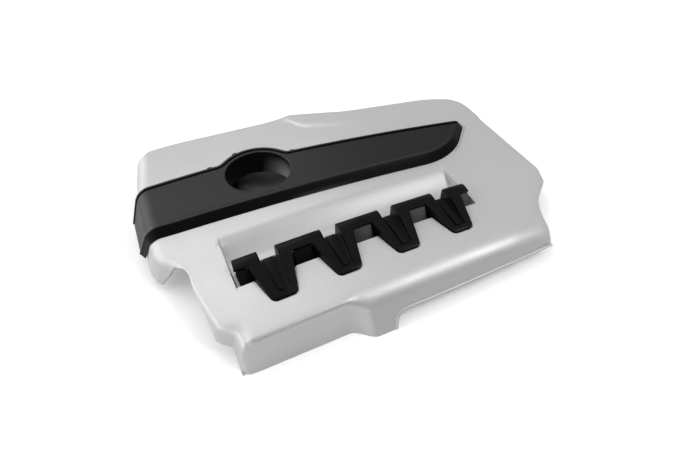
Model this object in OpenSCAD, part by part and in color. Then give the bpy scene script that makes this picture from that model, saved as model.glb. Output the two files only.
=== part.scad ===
/* [Overall] */
// Length of the cover, left to right
cover_length = 624; // [560:1:700]
// Depth of the cover, front to back
cover_depth = 456; // [420:1:500]
// Wall of the silver moulding
wall = 3; // [2:0.5:4]
// Sideways crown radius of the top
crown_radius = 4450; // [3000:50:9000]
// Where the crown is highest, to the right of the middle
crown_x = -14; // [-60:1:60]

/* [Top levels] */
// Height of the silver top behind the band
rear_level = 72; // [60:0.5:85]
// Height of the silver top at the front edge of the band
mid_level = 62.5; // [52:0.5:75]
// Height of the silver top at the front fold
fold_level = 48.5; // [40:0.5:60]
// Where the rear level starts to slope down
slope_start_y = 112; // [90:1:130]
// Where the front slope starts, at the foot of the band
slope_mid_y = -8; // [-20:1:5]
// Radius along the rear edge
rear_round = 14; // [6:1:24]
// Radius along the rolled left side
left_round = 24; // [10:1:34]
// Lean of the left side wall, from upright
left_lean = 24; // [8:1:32]
// Radius along the right side
right_round = 10; // [4:1:20]

/* [Front skirt] */
// Distance from the front edge to the fold of the left skirt
left_fold_back = 31; // [20:1:45]
// Lean of the left skirt wall, from upright
left_skirt_lean = 15; // [4:1:20]
// Radius of the tight fold over the left skirt
left_fold_round = 7; // [3:1:14]
// Distance from the front edge to the fold of the right skirt
right_fold_back = 26; // [14:1:40]
// Lean of the right skirt wall, from upright
right_skirt_lean = 30; // [10:1:36]
// Radius of the soft fold over the right skirt
right_fold_round = 34; // [15:1:50]
// Where the skirt steps forward, to the right of the middle
skirt_step_x = -86; // [-140:1:-40]
// Radius of the S-shaped step in the skirt
skirt_step_round = 16; // [8:1:30]
// Height of the bottom edge right of the bead's foot
bead_level = 17; // [10:0.5:26]
// Where the bead turns down to its foot
bead_foot_x = -26; // [-50:1:20]
// Width of the bead along the bottom edge
bead_width = 4; // [2:0.5:7]
// How far the bead stands out
bead_out = 1.5; // [0.5:0.5:3]

/* [Side rims] */
// Height of the bottom rim along the rear and right side
rim_level = 22; // [12:1:34]
// Height of the bottom rim along the left side
left_rim_level = 19; // [12:1:30]
// Height of the arch cut in the left side
arch_level = 50; // [40:1:54]
// Front end of the left side wall
arch_back_y = -32; // [-50:1:-10]
// Left face of the front box, from the left end
box_inset = 70; // [50:1:90]
// Height of the small foot flange beside the box
flange_level = 16; // [8:1:26]

/* [Band] */
// Height of the band's front ridge
band_level = 75; // [70:0.5:84]
// Front edge of the band at the left end
band_front_y = 1; // [-12:1:10]
// Rear edge of the band at the left end
band_rear_y = 114; // [95:1:122]
// Rear edge of the band at its right tip
band_tip_y = 66; // [50:1:80]
// Right end of the band
band_tip_x = 252; // [220:1:280]
// How far the band's front edge runs forward per length
band_front_slope = 0.04; // [0:0.01:0.1]
// Radius of the curve that rises to the band's tip
band_nose_round = 130; // [80:5:200]
// Width of the steep face along the band's front
band_bevel = 11; // [5:0.5:18]
// Wall of the band moulding
band_wall = 2.5; // [1.5:0.5:4]
// Depth of the band's sunk face
band_sink = 1.5; // [0.5:0.5:2.5]
// Width of the raised lip along the band's rear edge
band_lip = 5; // [3:0.5:9]

/* [Filler opening] */
// Bore of the filler opening
filler_bore = 100; // [80:1:116]
// Middle of the filler opening, to the right of the middle
filler_x = -119; // [-150:1:-90]
// Middle of the filler opening, to the back of the middle
filler_y = 74; // [60:1:90]
// Depth of the collar below the band's face
collar_depth = 16; // [8:1:26]
// Wall of the collar
collar_wall = 2.5; // [1.5:0.5:4]
// Width of the band round the filler opening
filler_land = 13; // [7:0.5:18]

/* [Runner trim] */
// Distance between neighbouring fingers
finger_pitch = 88; // [70:1:92]
// Middle of the finger row, to the right of the middle
finger_row_x = -30; // [-60:1:0]
// Rear edge of the bar
bar_rear_y = -82; // [-92:1:-70]
// Front edge of the bar, over the windows
bar_front_y = -103; // [-112:1:-96]
// Height of the bar's rounded top
bar_level = 71; // [66:0.5:78]
// Front end of the finger tips
finger_tip_y = -158; // [-166:1:-145]
// Height of the finger tips
finger_tip_level = 53.5; // [50:0.5:60]
// Width of a finger where it leaves the bar
finger_root = 60; // [48:1:66]
// Width of a finger near its tip
finger_tip = 33; // [24:1:44]
// Radius of the finger tip corners
tip_round = 7; // [3:1:12]
// Width of the centre panel at the bar
panel_root = 26; // [16:1:34]
// Width of the centre panel at its front end
panel_tip = 10; // [6:1:16]
// Front end of the centre panel
panel_front_y = -149; // [-152:1:-135]
// Depth of the centre panel below the legs
panel_sink = 2; // [1:0.5:3]
// Width of the grooves beside the centre panel
panel_groove = 2; // [1:0.5:4]
// Wall of the runner trim
trim_wall = 3; // [2:0.5:4]

/* [Pocket] */
// Rear edge of the pocket
pocket_rear_y = -37; // [-60:1:-25]
// Height of the pocket floor
pocket_floor = 42; // [36:0.5:48]
// Front wall of the pocket, at the silver tabs
tab_y = -119; // [-126:1:-112]
// Gap between the trims and the silver moulding
trim_gap = 2; // [1:0.5:4]
// Depth of the finger beds below the silver top
bed_depth = 1.5; // [0.5:0.5:2]
// Distance of the pocket's end walls from the trim
pocket_end_gap = 6; // [3:1:12]

/* [Fastening] */
// Ball stud that a grommet snaps over
stud_ball = 10; // [8:0.5:14]
// Depth of the socket in a grommet
stud_depth = 12; // [8:1:18]
// Outer size of a rubber grommet
grommet_size = 22; // [18:1:28]
// Height of a rubber grommet above its flange
grommet_height = 16; // [12:1:24]
// Size of the grommet's bottom flange
grommet_flange = 28; // [24:1:34]
// Thickness of the grommet's bottom flange
flange_thick = 4; // [2:0.5:6]
// Wall of the sockets that hold the grommets
socket_wall = 3; // [2:0.5:5]
// Size of the pegs under the trims
peg_size = 5; // [3:0.5:7]
// Outer size of a push nut
nut_size = 13; // [10:1:18]
// Thickness of a push nut
nut_thick = 1.2; // [0.8:0.2:2.5]
// Length of a peg below its push nut
peg_tail = 3; // [1:0.5:6]
// Clearance between pieces that fit into each other
fit_gap = 0.3; // [0.2:0.05:0.6]

/* [Pads and ribs] */
// Thickness of the sound pads
pad_thick = 9; // [4:1:14]
// Height of the ribs under the top
rib_height = 9; // [4:1:14]
// Thickness of the ribs
rib_thick = 2; // [1.5:0.5:3]

/* [Hidden] */
$fn = 48;
left_x = -cover_length / 2;
right_x = cover_length / 2;
front_y = -cover_depth / 2;
rear_y = cover_depth / 2;
fold_steps = 5;
rear_steps = 3;
side_steps = 4;
right_steps = 2;
rear_places = [0.4, 0.7];
step_places = [for (d = [-18, -10, -5, 0, 5, 10, 18]) skirt_step_x + d];
pocket_steps = 4;
pocket_run = 27;
left_run = [[-202, 72], [-176, 70], [-162, 54], [-148, 51], [-134, 48], [-119, 45], [-95, 41],
    [-62, 36], [-54, 32], [-46, 26], [-36, 16], [-26, 6], [-8, 0], [150, 0], [190, 10], [205, 22], [222, 44]];
tight_run = [[-60, 0.45], [-20, 1]];
right_run = [[-222, 90], [-205, 88], [-176, 78], [-148, 62], [-119, 28], [-84, 0]];
rear_run = [[-62, 0], [-12, 4], [95, 16], [230, 46], [270, 62], [312, 96]];
rise_run = [[-62, 0], [-12, 1], [230, 1], [300, 0]];
rear_rise = 2;
silver = [0.78, 0.78, 0.78];
satin_black = [0.12, 0.12, 0.12];
deep_black = [0.06, 0.06, 0.06];
rubber = [0.15, 0.15, 0.16];
steel = [0.6, 0.6, 0.62];
foam = [0.25, 0.25, 0.27];
fold_y_left = front_y + left_fold_back;
fold_y_right = front_y + right_fold_back;
front_slope = (mid_level - fold_level) / (slope_mid_y - fold_y_left);
finger_x = [for (i = [0:3]) finger_row_x + (i - 1.5) * finger_pitch];
trim_half = 2 * finger_pitch + 1;
pocket_left = finger_row_x - trim_half - pocket_end_gap;
pocket_right = finger_row_x + trim_half + pocket_end_gap;
socket_size = grommet_size + 2 * fit_gap + 2 * socket_wall;
stud_places = [[left_x + 112, front_y + 54], [right_x - 110, front_y + 62],
    [left_x + 60, rear_y - 50], [right_x - 122, rear_y - 96]];
band_pegs = [[left_x + 62, 55], [left_x + 84, 92], [-20, 62], [40, 20], [110, 52], [185, 36]];
runner_peg_y = bar_front_y + 7;
rear_rib_y = filler_y + filler_bore / 2 + 8;
band_slope = (rear_level - mid_level) / (slope_start_y - slope_mid_y);
cup_hole = grommet_size + 2 * fit_gap;
backing_top = pocket_floor + 4;
box_left = left_x + box_inset;
bead_end_x = right_x - 92;
band_over = band_level - rear_level;
pad_split_x = -20;
groove_more = 0.8;
bridge_step = 0.3;

// Height of the silver top along the depth, without the crown
function top_at(y) = y > slope_start_y ? rear_level
    : y > slope_mid_y ? mid_level + (rear_level - mid_level) * (y - slope_mid_y) / (slope_start_y - slope_mid_y)
    : mid_level + front_slope * (y - slope_mid_y);

// How far the crown has dropped at a place along the length
function crown_drop(x) = crown_radius - sqrt(crown_radius * crown_radius - (x - crown_x) * (x - crown_x));

// Place on the crown that the right part of the top is pulled in from
function crown_place(x, y) = x < pocket_right + 10 ? x
    : (150 * x - right_in(y) * (pocket_right + 10)) / (150 - right_in(y));

// Height of the silver top at any place between the folds
function skin_at(x, y) = top_at(y) - crown_drop(crown_place(x, y));

// Points of a corner arc between two straight edges of an outline
function arc_points(c, r, a0, a1, n) =
    [for (i = [0:n]) c + r * [cos(a0 + (a1 - a0) * i / n), sin(a0 + (a1 - a0) * i / n)]];

// Rounded corner: the points that replace corner p between a and b
function corner(a, p, b, r, n) =
    let (u = (a - p) / norm(a - p), v = (b - p) / norm(b - p))
    let (half = acos(max(-1, min(1, u * v))) / 2)
    let (t = r / tan(half), m = (u + v) / norm(u + v), c = p + m * r / sin(half))
    let (s = p + u * t - c, e = p + v * t - c)
    let (a0 = atan2(s[1], s[0]), a1 = atan2(e[1], e[0]))
    let (d = a1 - a0 > 180 ? a1 - a0 - 360 : a1 - a0 < -180 ? a1 - a0 + 360 : a1 - a0)
    r <= 0.01 ? [p] : arc_points(c, r, a0, a0 + d, n);

// Outline with each corner [x, y, radius] rounded
function rounded(pts, n) =
    let (k = len(pts))
    [for (i = [0:k - 1])
        let (a = pts[(i + k - 1) % k], p = pts[i], b = pts[(i + 1) % k])
        each corner([a[0], a[1]], [p[0], p[1]], [b[0], b[1]], p[2], n)];

// Outline moved inwards by s, for corners listed the way the clock runs backwards
function inset(pts, s) =
    let (k = len(pts))
    [for (i = [0:k - 1])
        let (a = [pts[(i + k - 1) % k][0], pts[(i + k - 1) % k][1]])
        let (p = [pts[i][0], pts[i][1]])
        let (b = [pts[(i + 1) % k][0], pts[(i + 1) % k][1]])
        let (u = (p - a) / norm(p - a), v = (b - p) / norm(b - p))
        let (nu = [-u[1], u[0]], nv = [-v[1], v[0]])
        let (q = p + s * (nu + nv) / (1 + nu * nv))
        let (turn = u[0] * v[1] - u[1] * v[0])
        [q[0], q[1], pts[i][2] <= 0.01 ? 0 : max(0.5, pts[i][2] - (turn > 0 ? s : -s))]];

// Share of the way from a to b, with soft ends
function soft(t) = let (u = max(0, min(1, t))) u * u * (3 - 2 * u);

// Value at t of the straight pieces between [t, value] pairs in rising order
function pieces(list, t) =
    t <= list[0][0] ? list[0][1] :
    t >= list[len(list) - 1][0] ? list[len(list) - 1][1] :
    [for (i = [1:len(list) - 1]) if (t >= list[i - 1][0] && t < list[i][0])
        list[i - 1][1] + (list[i][1] - list[i - 1][1]) * (t - list[i - 1][0]) / (list[i][0] - list[i - 1][0])][0];

// Share of the right skirt's form at a place along the length
function skirt_share(x) = soft((x - skirt_step_x + skirt_step_round) / (2 * skirt_step_round));

// Fold line, lean and radius of the skirt at a place along the length
function fold_at(x) = fold_y_left + (fold_y_right - fold_y_left) * skirt_share(x);
function lean_at(x) = left_skirt_lean + (right_skirt_lean - left_skirt_lean) * skirt_share(x);
function round_at(x) = left_fold_round + (right_fold_round - left_fold_round) * skirt_share(x);

// Rear edge at a place along the length
function rear_at(x) = rear_y - 2 * soft((x + 62) / 50) - pieces(rear_run, x);

// Left and right ends at a place along the depth, as distances from the overall ends
function left_in(y) = pieces(left_run, y);
function right_in(y) = pieces(right_run, y);

// How much of its full width the rolled left side has at a place along the depth
function left_tight(y) = pieces(tight_run, y);

// Front part of one side view: wall foot, wall head and the arc of the fold
function front_rows(x, s) =
    let (fy = fold_at(x), lean = lean_at(x), r = max(1, round_at(x) - s), high = top_at(fy))
    let (tilt = atan(front_slope), turn = 90 - lean - tilt)
    let (py = fy + s * (1 / cos(lean) - tan(lean) * 0) , pz = high - s / cos(tilt))
    let (t = (round_at(x)) * tan(turn / 2) - s * tan(turn / 2))
    let (cy = py + t * cos(tilt) + r * sin(tilt), cz = pz + t * sin(tilt) - r * cos(tilt))
    concat(
        [[py - (pz + 30 + s) * tan(lean), -30 - s]],
        [for (k = [0:fold_steps]) let (a = 180 - lean - k * turn / fold_steps)
            [cy + r * cos(a), cz + r * sin(a)]]);

// Rear part of one side view: the arc over the rear edge and the wall foot
function rear_rows(x, s) =
    let (ry = rear_at(x) - s, r = rear_round - s, high = rear_level - s + rear_rise * pieces(rise_run, x))
    concat(
        [for (k = [0:rear_steps]) let (a = 90 - 90 * k / rear_steps)
            [ry - r + r * cos(a), high - r + r * sin(a)]],
        [[ry, -30 - s]]);

// Depth of the pocket below the silver top at a place along the depth
function pocket_depth(y) =
    y <= tab_y || y >= pocket_rear_y ? 0
    : (top_at(y) - pocket_floor) * (y < tab_y + 2 ? (y - tab_y) / 2
        : 1 - soft((y - pocket_rear_y + pocket_run) / pocket_run));

// Height of the silver top along the depth, with the pocket and without the crown
function bed_at(y) = top_at(y) - pocket_depth(y);

// Rows across the top as [place, height, share of the pocket], for the skin moved inwards by s
function top_rows(s) = concat(
    [for (y = [-176, -162, -148, -134]) [y, top_at(y) - s, 0]],
    [[tab_y - s, top_at(tab_y) - s, 0],
        [tab_y + 2 - s, pocket_floor - s, 1],
        [pocket_rear_y - pocket_run, pocket_floor - s, 1]],
    [for (k = [1:pocket_steps])
        let (y = pocket_rear_y - pocket_run + pocket_run * k / pocket_steps)
        [y + s * (k == pocket_steps ? 0 : 0.5), bed_at(y) - s, k == pocket_steps ? 0 : 1]],
    [for (y = [-22, slope_mid_y, 50, slope_start_y]) [y, top_at(y) - s, 0]]);

// One whole side view, front to back, as [depth, height] without the crown
function side_rows(x, s) =
    let (inside = x > pocket_left + 0.1 - s && x < pocket_right - 0.1 + s)
    concat(
    front_rows(x, s),
    [for (r = top_rows(s)) [r[0], inside || r[2] == 0 ? r[1] : top_at(r[0]) - s]],
    [for (y = rear_places) let (e = rear_at(x) - rear_round)
        let (yy = slope_start_y + (e - slope_start_y) * y)
        [yy, rear_level - s + rear_rise * pieces(rise_run, x) * soft((y - 0.4) / 0.6)]],
    rear_rows(x, s));

// Columns of the skin as [place, drop, share of left inset, share of right inset, foot]
function columns(s) =
    let (r = left_round - s, turn = 90 - left_lean)
    let (tz = rear_level - crown_drop(left_x + left_round) - left_round * (1 - cos(turn)))
    let (tx = left_x + (tz - left_rim_level) * tan(left_lean), sx = tx + left_round * sin(turn))
    let (ex = tx + s * sin(turn), fall = 60)
    let (places = concat(
        [-245, pocket_left - s, pocket_left + 2 - s, -170], step_places,
        [-14, 40, 95, pocket_right - 2 + s, pocket_right + s, 205, 250, 280]))
    concat(
        [[ex - fall * tan(left_lean), 0, 1, 0, 1, ex - fall * tan(left_lean)]],
        [for (k = [0:side_steps]) let (a = turn - turn * k / side_steps, x = sx - r * sin(a))
            [x, crown_drop(sx) + r * (1 - cos(a)), 1, 0, 0, x]],
        [for (x = places)
            [x, crown_drop(x), max(0, (pocket_left - x - 4) / (pocket_left - sx - 4)),
                max(0, (x - pocket_right - 10) / 150), 0, sx]],
        [for (k = [0:right_steps]) let (a = 90 * k / right_steps, q = right_round - s)
            [right_x - s - q + q * sin(a), crown_drop(right_x) + q * (1 - cos(a)), 0, 1, 0, sx]],
        [[right_x - s, 0, 0, 1, 1, sx]]);

// Points of the skin moved inwards by s and down by fall
function skin_points(s, fall) =
    let (cols = columns(s), rows = len(side_rows(0, s)))
    [for (j = [0:rows - 1]) for (c = cols)
        let (p = side_rows(c[0], s)[j])
        let (x = c[0] + c[2] * left_in(p[0]) - c[3] * right_in(p[0])
            - (c[5] - left_x) * c[2] * (1 - left_tight(p[0])))
        j == 0 || j == rows - 1 || c[4] == 1
            ? [x, p[0], -30 - fall]
            : [x, p[0], p[1] - c[1] - fall]];

// Solid between two grids of points with the same count of rows and n points a row
module grid_solid(high, low, n) {
    m = len(high);
    rows = m / n;
    rim = concat(
        [for (i = [0:n - 1]) i],
        [for (j = [1:rows - 1]) j * n + n - 1],
        [for (i = [n - 2:-1:0]) (rows - 1) * n + i],
        [for (j = [rows - 2:-1:1]) j * n]);
    k = len(rim);
    upper = [for (j = [0:rows - 2]) for (i = [0:n - 2])
        each [[j * n + i, (j + 1) * n + i, (j + 1) * n + i + 1], [j * n + i, (j + 1) * n + i + 1, j * n + i + 1]]];
    lower = [for (f = upper) [m + f[0], m + f[2], m + f[1]]];
    edge = [for (i = [0:k - 1])
        let (p = rim[i], q = rim[(i + 1) % k])
        each [[p, q, m + q], [p, m + q, m + p]]];
    polyhedron(concat(high, low), concat(upper, lower, edge), convexity = 8);
}

// Solid between the skin moved inwards by s0 and the skin moved inwards by s1 and down by fall
module layer(s0, s1, fall) {
    grid_solid(skin_points(s0, 0), skin_points(s1, fall), len(columns(s0)));
}

// Everything below the skin moved inwards by s, behind the pocket and up to its right side
module below_skin(s) {
    all = skin_points(s, 0);
    n = len(columns(s));
    m = n - right_steps - 2;
    first = len(front_rows(0, s)) + len(top_rows(s)) - 5;
    last = first + 4 + len(rear_places);
    high = [for (j = [first:last]) for (i = [0:m - 1]) all[j * n + i]];
    grid_solid(high, [for (q = high) [q[0], q[1], -60]], m);
}

// Upright prism over an outline
module upright(low, high) {
    translate([0, 0, low])
        linear_extrude(high - low)
            children();
}

// Prism along the length over a side view drawn as [depth, height]
module along(x0, x1) {
    translate([x0, 0, 0])
        rotate([90, 0, 90])
            linear_extrude(x1 - x0)
                children();
}

// Prism along the depth over a front view drawn as [length, height]
module across(y0, y1) {
    translate([0, y1, 0])
        rotate([90, 0, 0])
            linear_extrude(y1 - y0)
                children();
}

// Moves a piece to place x on the crown and tilts it with the crown
module at_crown(x) {
    translate([x, 0, mid_level - crown_drop(x)])
        rotate([0, asin((x - crown_x) / crown_radius), 0])
            translate([0, 0, -mid_level])
                children();
}

module at_finger(i) {
    at_crown(finger_x[i])
        children();
}

// Moves the pieces between the fingers to their places, with their half lengths
module at_bridges(far) {
    gap = (finger_pitch - finger_root) / 2;
    for (i = [0:2])
        at_crown(finger_x[i] + finger_pitch / 2)
            along(-gap - far, gap + far)
                children();
    for (side = [-1, 1])
        at_crown(finger_row_x + side * (finger_pitch * 2 - gap / 2))
            along(side < 0 ? -gap / 2 - 1 : -gap / 2 - far, side < 0 ? gap / 2 + far : gap / 2 + 1)
                children();
}

// Outline of one finger from above, grown by g
module finger_plan(g) {
    root = finger_root / 2 + g;
    tip = finger_tip / 2 + g;
    polygon(rounded([
        [-root, bar_front_y, 0],
        [-tip, finger_tip_y - g, tip_round + g],
        [tip, finger_tip_y - g, tip_round + g],
        [root, bar_front_y, 0],
        [root, bar_rear_y, 0],
        [-root, bar_rear_y, 0]
    ], 5));
}

// Rim line of the left side, seen along the length, as [depth, height]
module left_rim_view() {
    polygon([
        [rear_y + 60, -80], [rear_y + 60, left_rim_level], [8, left_rim_level], [-12, left_rim_level - 3],
        [arch_back_y, left_rim_level - 10], [arch_back_y - 7, arch_level - 24], [arch_back_y - 14, arch_level - 4],
        [arch_back_y - 24, arch_level], [arch_back_y - 40, arch_level - 0.5], [-95, arch_level - 5],
        [-119, arch_level - 10], [-134, arch_level - 14], [-148, arch_level - 22], [-158, flange_level + 3],
        [-163, flange_level + 1], [-176, flange_level], [-186, flange_level / 2], [-200, 0], [-200, -80]
    ]);
}

// Everything below the bottom rim of the shell
module below_rim() {
    translate([left_x - 60, front_y - 60, -80])
        cube([cover_length + 120, cover_depth + 120, 80]);
    translate([box_left + 8, -130, -80])
        cube([cover_length, cover_depth, 80 + rim_level]);
    translate([bead_foot_x, front_y - 60, -80])
        cube([cover_length, cover_depth, 80 + bead_level]);
    along(left_x - 60, box_left + 14)
        left_rim_view();
}

// Post and cup under the top that hold one grommet, with drafted gussets
module grommet_cup(p) {
    high = skin_at(p[0], p[1]) - wall / 2;
    cup_top = flange_thick + grommet_height + fit_gap;
    translate([p[0], p[1], flange_thick + fit_gap])
        cylinder(h = cup_top + wall - flange_thick - fit_gap, d = socket_size, $fn = 32);
    translate([p[0], p[1], cup_top])
        cylinder(h = high - cup_top, d = socket_size / 2, $fn = 24);
    for (a = [0, 90])
        translate([p[0], p[1], 0])
            rotate([0, 0, a])
                hull() {
                    translate([-socket_size / 2 + 1, -rib_thick / 2, cup_top + 1])
                        cube([socket_size - 2, rib_thick, 1]);
                    translate([-socket_size / 2 - 3, -rib_thick / 2 - 0.3, high - 3.2])
                        cube([socket_size + 6, rib_thick + 0.6, 1.6]);
                }
}

// Hole in a grommet cup
module grommet_hole(p) {
    translate([p[0], p[1], 0])
        cylinder(h = flange_thick + grommet_height + fit_gap, d = cup_hole, $fn = 32);
}

// Rib that runs along the length under the top
module rib_along(y, x0, x1) {
    xs = [for (k = [0:8]) x0 + (x1 - x0) * k / 8];
    across(y - rib_thick / 2, y + rib_thick / 2)
        polygon(concat(
            [for (x = xs) [x, top_at(y) - crown_drop(x) - wall * 0.6]],
            [for (k = [8:-1:0]) [xs[k], top_at(y) - crown_drop(xs[k]) - wall - rib_height]]));
}

// Rib that runs along the depth under the top
module rib_across(x, y0, y1) {
    ys = [for (k = [0:8]) y0 + (y1 - y0) * k / 8];
    along(x - rib_thick / 2, x + rib_thick / 2)
        polygon(concat(
            [for (y = ys) [y, top_at(y) - crown_drop(x) - wall * 0.6]],
            [for (k = [8:-1:0]) [ys[k], top_at(ys[k]) - crown_drop(x) - wall - rib_height]]));
}

// Raised bead along the bottom edge of the right skirt, with its foot
module edge_bead() {
    lean = right_skirt_lean;
    line_y = fold_y_right - (top_at(fold_y_right) - bead_level) * tan(lean);
    swing = crown_drop(bead_end_x) * tan(lean) / (bead_end_x - bead_foot_x);
    r = bead_width / 2;
    translate([bead_foot_x + 2 * r, line_y + r - bead_out, bead_level + r]) {
        rotate([0, 90, atan(swing)])
            cylinder(h = bead_end_x - bead_foot_x - 2 * r, r = r, $fn = 20);
    }
    translate([bead_foot_x, line_y + r - bead_out, bead_level - r])
        rotate([-lean, 0, 0])
            translate([0, 0, -bead_level])
                cylinder(h = bead_level, r = r, $fn = 20);
    translate([bead_foot_x + 2 * r, line_y + r - bead_out, bead_level - r])
        rotate([90, 0, 0])
            rotate([0, 0, 90])
                rotate_extrude(angle = 90, $fn = 32)
                    translate([2 * r, 0])
                        circle(r = r, $fn = 20);
}

module cover_shell() {
    color(silver)
        difference() {
            union() {
                layer(0, wall, 0);
                for (p = stud_places) grommet_cup(p);
                edge_bead();
                rib_along(rear_rib_y, left_x + 90, right_x - 60);
                rib_along(-28, left_x + 66, right_x - 60);
                rib_across(right_x - 90, -110, 112);
                rib_across(left_x + 90, -110, -40);
            }
            below_rim();
            for (p = stud_places) grommet_hole(p);
            translate([filler_x, filler_y, 0])
                cylinder(h = 100, d = filler_bore + 2 * collar_wall + 2 * fit_gap, $fn = 96);
            for (p = band_pegs)
                translate([p[0], p[1], 30])
                    cylinder(h = 60, d = peg_size + 2 * fit_gap, $fn = 20);
            for (i = [0:3])
                at_finger(i) {
                    translate([0, runner_peg_y, 20])
                        cylinder(h = 40, d = peg_size + 2 * fit_gap, $fn = 20);
                    intersection() {
                        upright(30, 80) finger_plan(trim_gap);
                        along(-60, 60)
                            polygon([for (p = [[finger_tip_y - 20, 0], [tab_y + 4, 0], [tab_y + 4, 40],
                                [finger_tip_y - 20, 40]]) [p[0], top_at(p[0]) - bed_depth + p[1]]]);
                    }
                }
        }
}

// Front edge of the band at a place along the length
function band_front(x) = band_front_y - band_front_slope * (x - left_x - 49);

// Outline of the band's front, open to the rear, with corners [x, y, radius]
function band_front_outline() = [
    [left_x - 56, band_front_y + 71, 0],
    [left_x + 13, band_front_y + 1, 12],
    [band_tip_x - 63, band_front(band_tip_x - 63), band_nose_round],
    [band_tip_x + 214, band_tip_y + 234, 0],
    [left_x - 56, band_tip_y + 234, 0]];

// Outline of the band's rear, open to the front, moved forward by g
function band_rear_outline(g) = [
    [left_x - 40, band_front_y - 100],
    [band_tip_x + 40, band_front_y - 100],
    [band_tip_x + 14 - g, band_tip_y + 5 - g],
    [filler_x + 71, band_rear_y - 14.5 - g],
    [filler_x, band_rear_y - 7 - g],
    [filler_x - 64, band_rear_y - g],
    [left_x - 40, band_rear_y - g]];

// Space under the band's outer face, moved inwards by s
module under_band_face(s) {
    across(band_front_y - 60, band_rear_y + 60)
        polygon(concat(
            [for (c = columns(s)) [c[0], c[4] == 1 ? -40 : band_level - s - band_over - c[1]]],
            [[right_x - s, -60], [left_x - 40, -60]]));
}

// Space behind the band's front and before its rear edge, from above
module band_plan(front, rear) {
    intersection() {
        upright(0, 100)
            polygon(rounded(front > 0 ? inset(band_front_outline(), front) : band_front_outline(), 12));
        union() {
            upright(0, 100)
                polygon(band_rear_outline(rear));
            translate([filler_x, filler_y, 0])
                cylinder(h = 100, d = filler_bore + 2 * (filler_land - rear), $fn = 96);
        }
    }
}

// Peg under the band, through the silver moulding
module band_peg(p) {
    z = skin_at(p[0], p[1]);
    translate([p[0], p[1], z - wall - nut_thick - peg_tail - 1])
        cylinder(h = wall + nut_thick + peg_tail + 2, d = peg_size, $fn = 24);
}

module band_trim() {
    color(satin_black)
        difference() {
            union() {
                difference() {
                    intersection() {
                        under_band_face(-band_over);
                        band_plan(0, 0);
                        hull() {
                            upright(0, band_level - 18)
                                polygon(rounded(band_front_outline(), 12));
                            upright(band_level + 0.5, band_level + 2)
                                polygon(rounded(inset(band_front_outline(), band_bevel + 1), 12));
                        }
                        translate([left_x - 60, band_front_y - 60, left_rim_level])
                            cube([cover_length + 120, 300, 100]);
                    }
                    below_skin(-fit_gap);
                    difference() {
                        band_plan(band_bevel + 4, band_lip);
                        under_band_face(band_sink - band_over);
                    }
                }
                translate([filler_x, filler_y, skin_at(filler_x, filler_y) + 5 - collar_depth])
                    cylinder(h = collar_depth - 2, d = filler_bore + 2 * collar_wall, $fn = 96);
                for (p = band_pegs) band_peg(p);
            }
            translate([filler_x, filler_y, 0])
                cylinder(h = 100, d = filler_bore, $fn = 96);
        }
}

// Top line of a finger and the bar, seen along the length, lowered by g, front to rear
function finger_top(g) = [
    [finger_tip_y, finger_tip_level - 2.5 - g], [finger_tip_y + 2, finger_tip_level - 1 - g],
    [finger_tip_y + 7, finger_tip_level + 1 - g], [bar_front_y, bar_level - 2.2 - g],
    [bar_front_y + 6, bar_level - 0.6 - g], [bar_front_y + 11, bar_level - g],
    [bar_rear_y - 6, bar_level - 0.2 - g], [bar_rear_y - 2, bar_level - 2.5 - g],
    [bar_rear_y, bar_level - 7 - g]];

// Side view of one finger with its underside on the bed and on the backing
module finger_side() {
    polygon(concat(
        finger_top(0),
        [[bar_rear_y, backing_top + fit_gap],
            [tab_y + 4, backing_top + fit_gap],
            [tab_y + 4, top_at(tab_y + 3) - bed_depth + fit_gap],
            [finger_tip_y, top_at(finger_tip_y) - bed_depth + fit_gap]]));
}

// Side view of the bar between two fingers: cap and rear wall
module bar_side() {
    top = [for (k = [3:8]) finger_top(bridge_step)[k]];
    polygon(concat(
        top,
        [[bar_rear_y, backing_top + fit_gap + bridge_step],
            [bar_rear_y - trim_wall, backing_top + fit_gap + bridge_step],
            [bar_rear_y - trim_wall, bar_level - 8],
            [bar_rear_y - 8, bar_level - trim_wall - 0.6],
            [bar_front_y + 6, bar_level - trim_wall - 1],
            [bar_front_y, bar_level - trim_wall - 2.2]]));
}

// Outline of the centre panel of a finger, grown by g
module panel_plan(g) {
    polygon([
        [-panel_tip / 2 - g, panel_front_y - g], [panel_tip / 2 + g, panel_front_y - g],
        [panel_root / 2 + g, bar_front_y], [panel_root / 2 + g, bar_rear_y + 5],
        [-panel_root / 2 - g, bar_rear_y + 5], [-panel_root / 2 - g, bar_front_y]]);
}

// One finger with its sunk centre panel and its peg
module finger() {
    difference() {
        intersection() {
            along(-finger_pitch / 2, finger_pitch / 2) finger_side();
            upright(0, 100) finger_plan(0);
        }
        difference() {
            upright(0, 100) panel_plan(panel_groove);
            along(-finger_pitch / 2, finger_pitch / 2)
                polygon(concat(finger_top(panel_sink + groove_more), [[bar_rear_y + 9, 40], [finger_tip_y, 0]]));
            intersection() {
                upright(0, 100) panel_plan(0);
                along(-finger_pitch / 2, finger_pitch / 2)
                    polygon(concat(finger_top(panel_sink), [[bar_rear_y + 9, 40], [finger_tip_y, 0]]));
            }
        }
    }
    translate([0, runner_peg_y, pocket_floor - wall - nut_thick - peg_tail])
        cylinder(h = backing_top - pocket_floor + wall + nut_thick + peg_tail + 2, d = peg_size, $fn = 24);
}

module runner_trim() {
    color(deep_black) {
        for (i = [0:3]) at_finger(i) finger();
        at_bridges(4) bar_side();
    }
}

// Side view of the backing's foot, thinner by g on both faces
module backing_foot(g) {
    polygon([[tab_y + 5, pocket_floor + fit_gap + g], [bar_rear_y - 4, pocket_floor + fit_gap + g],
        [bar_rear_y - 4, backing_top - g], [tab_y + 5, backing_top - g]]);
}

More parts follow.
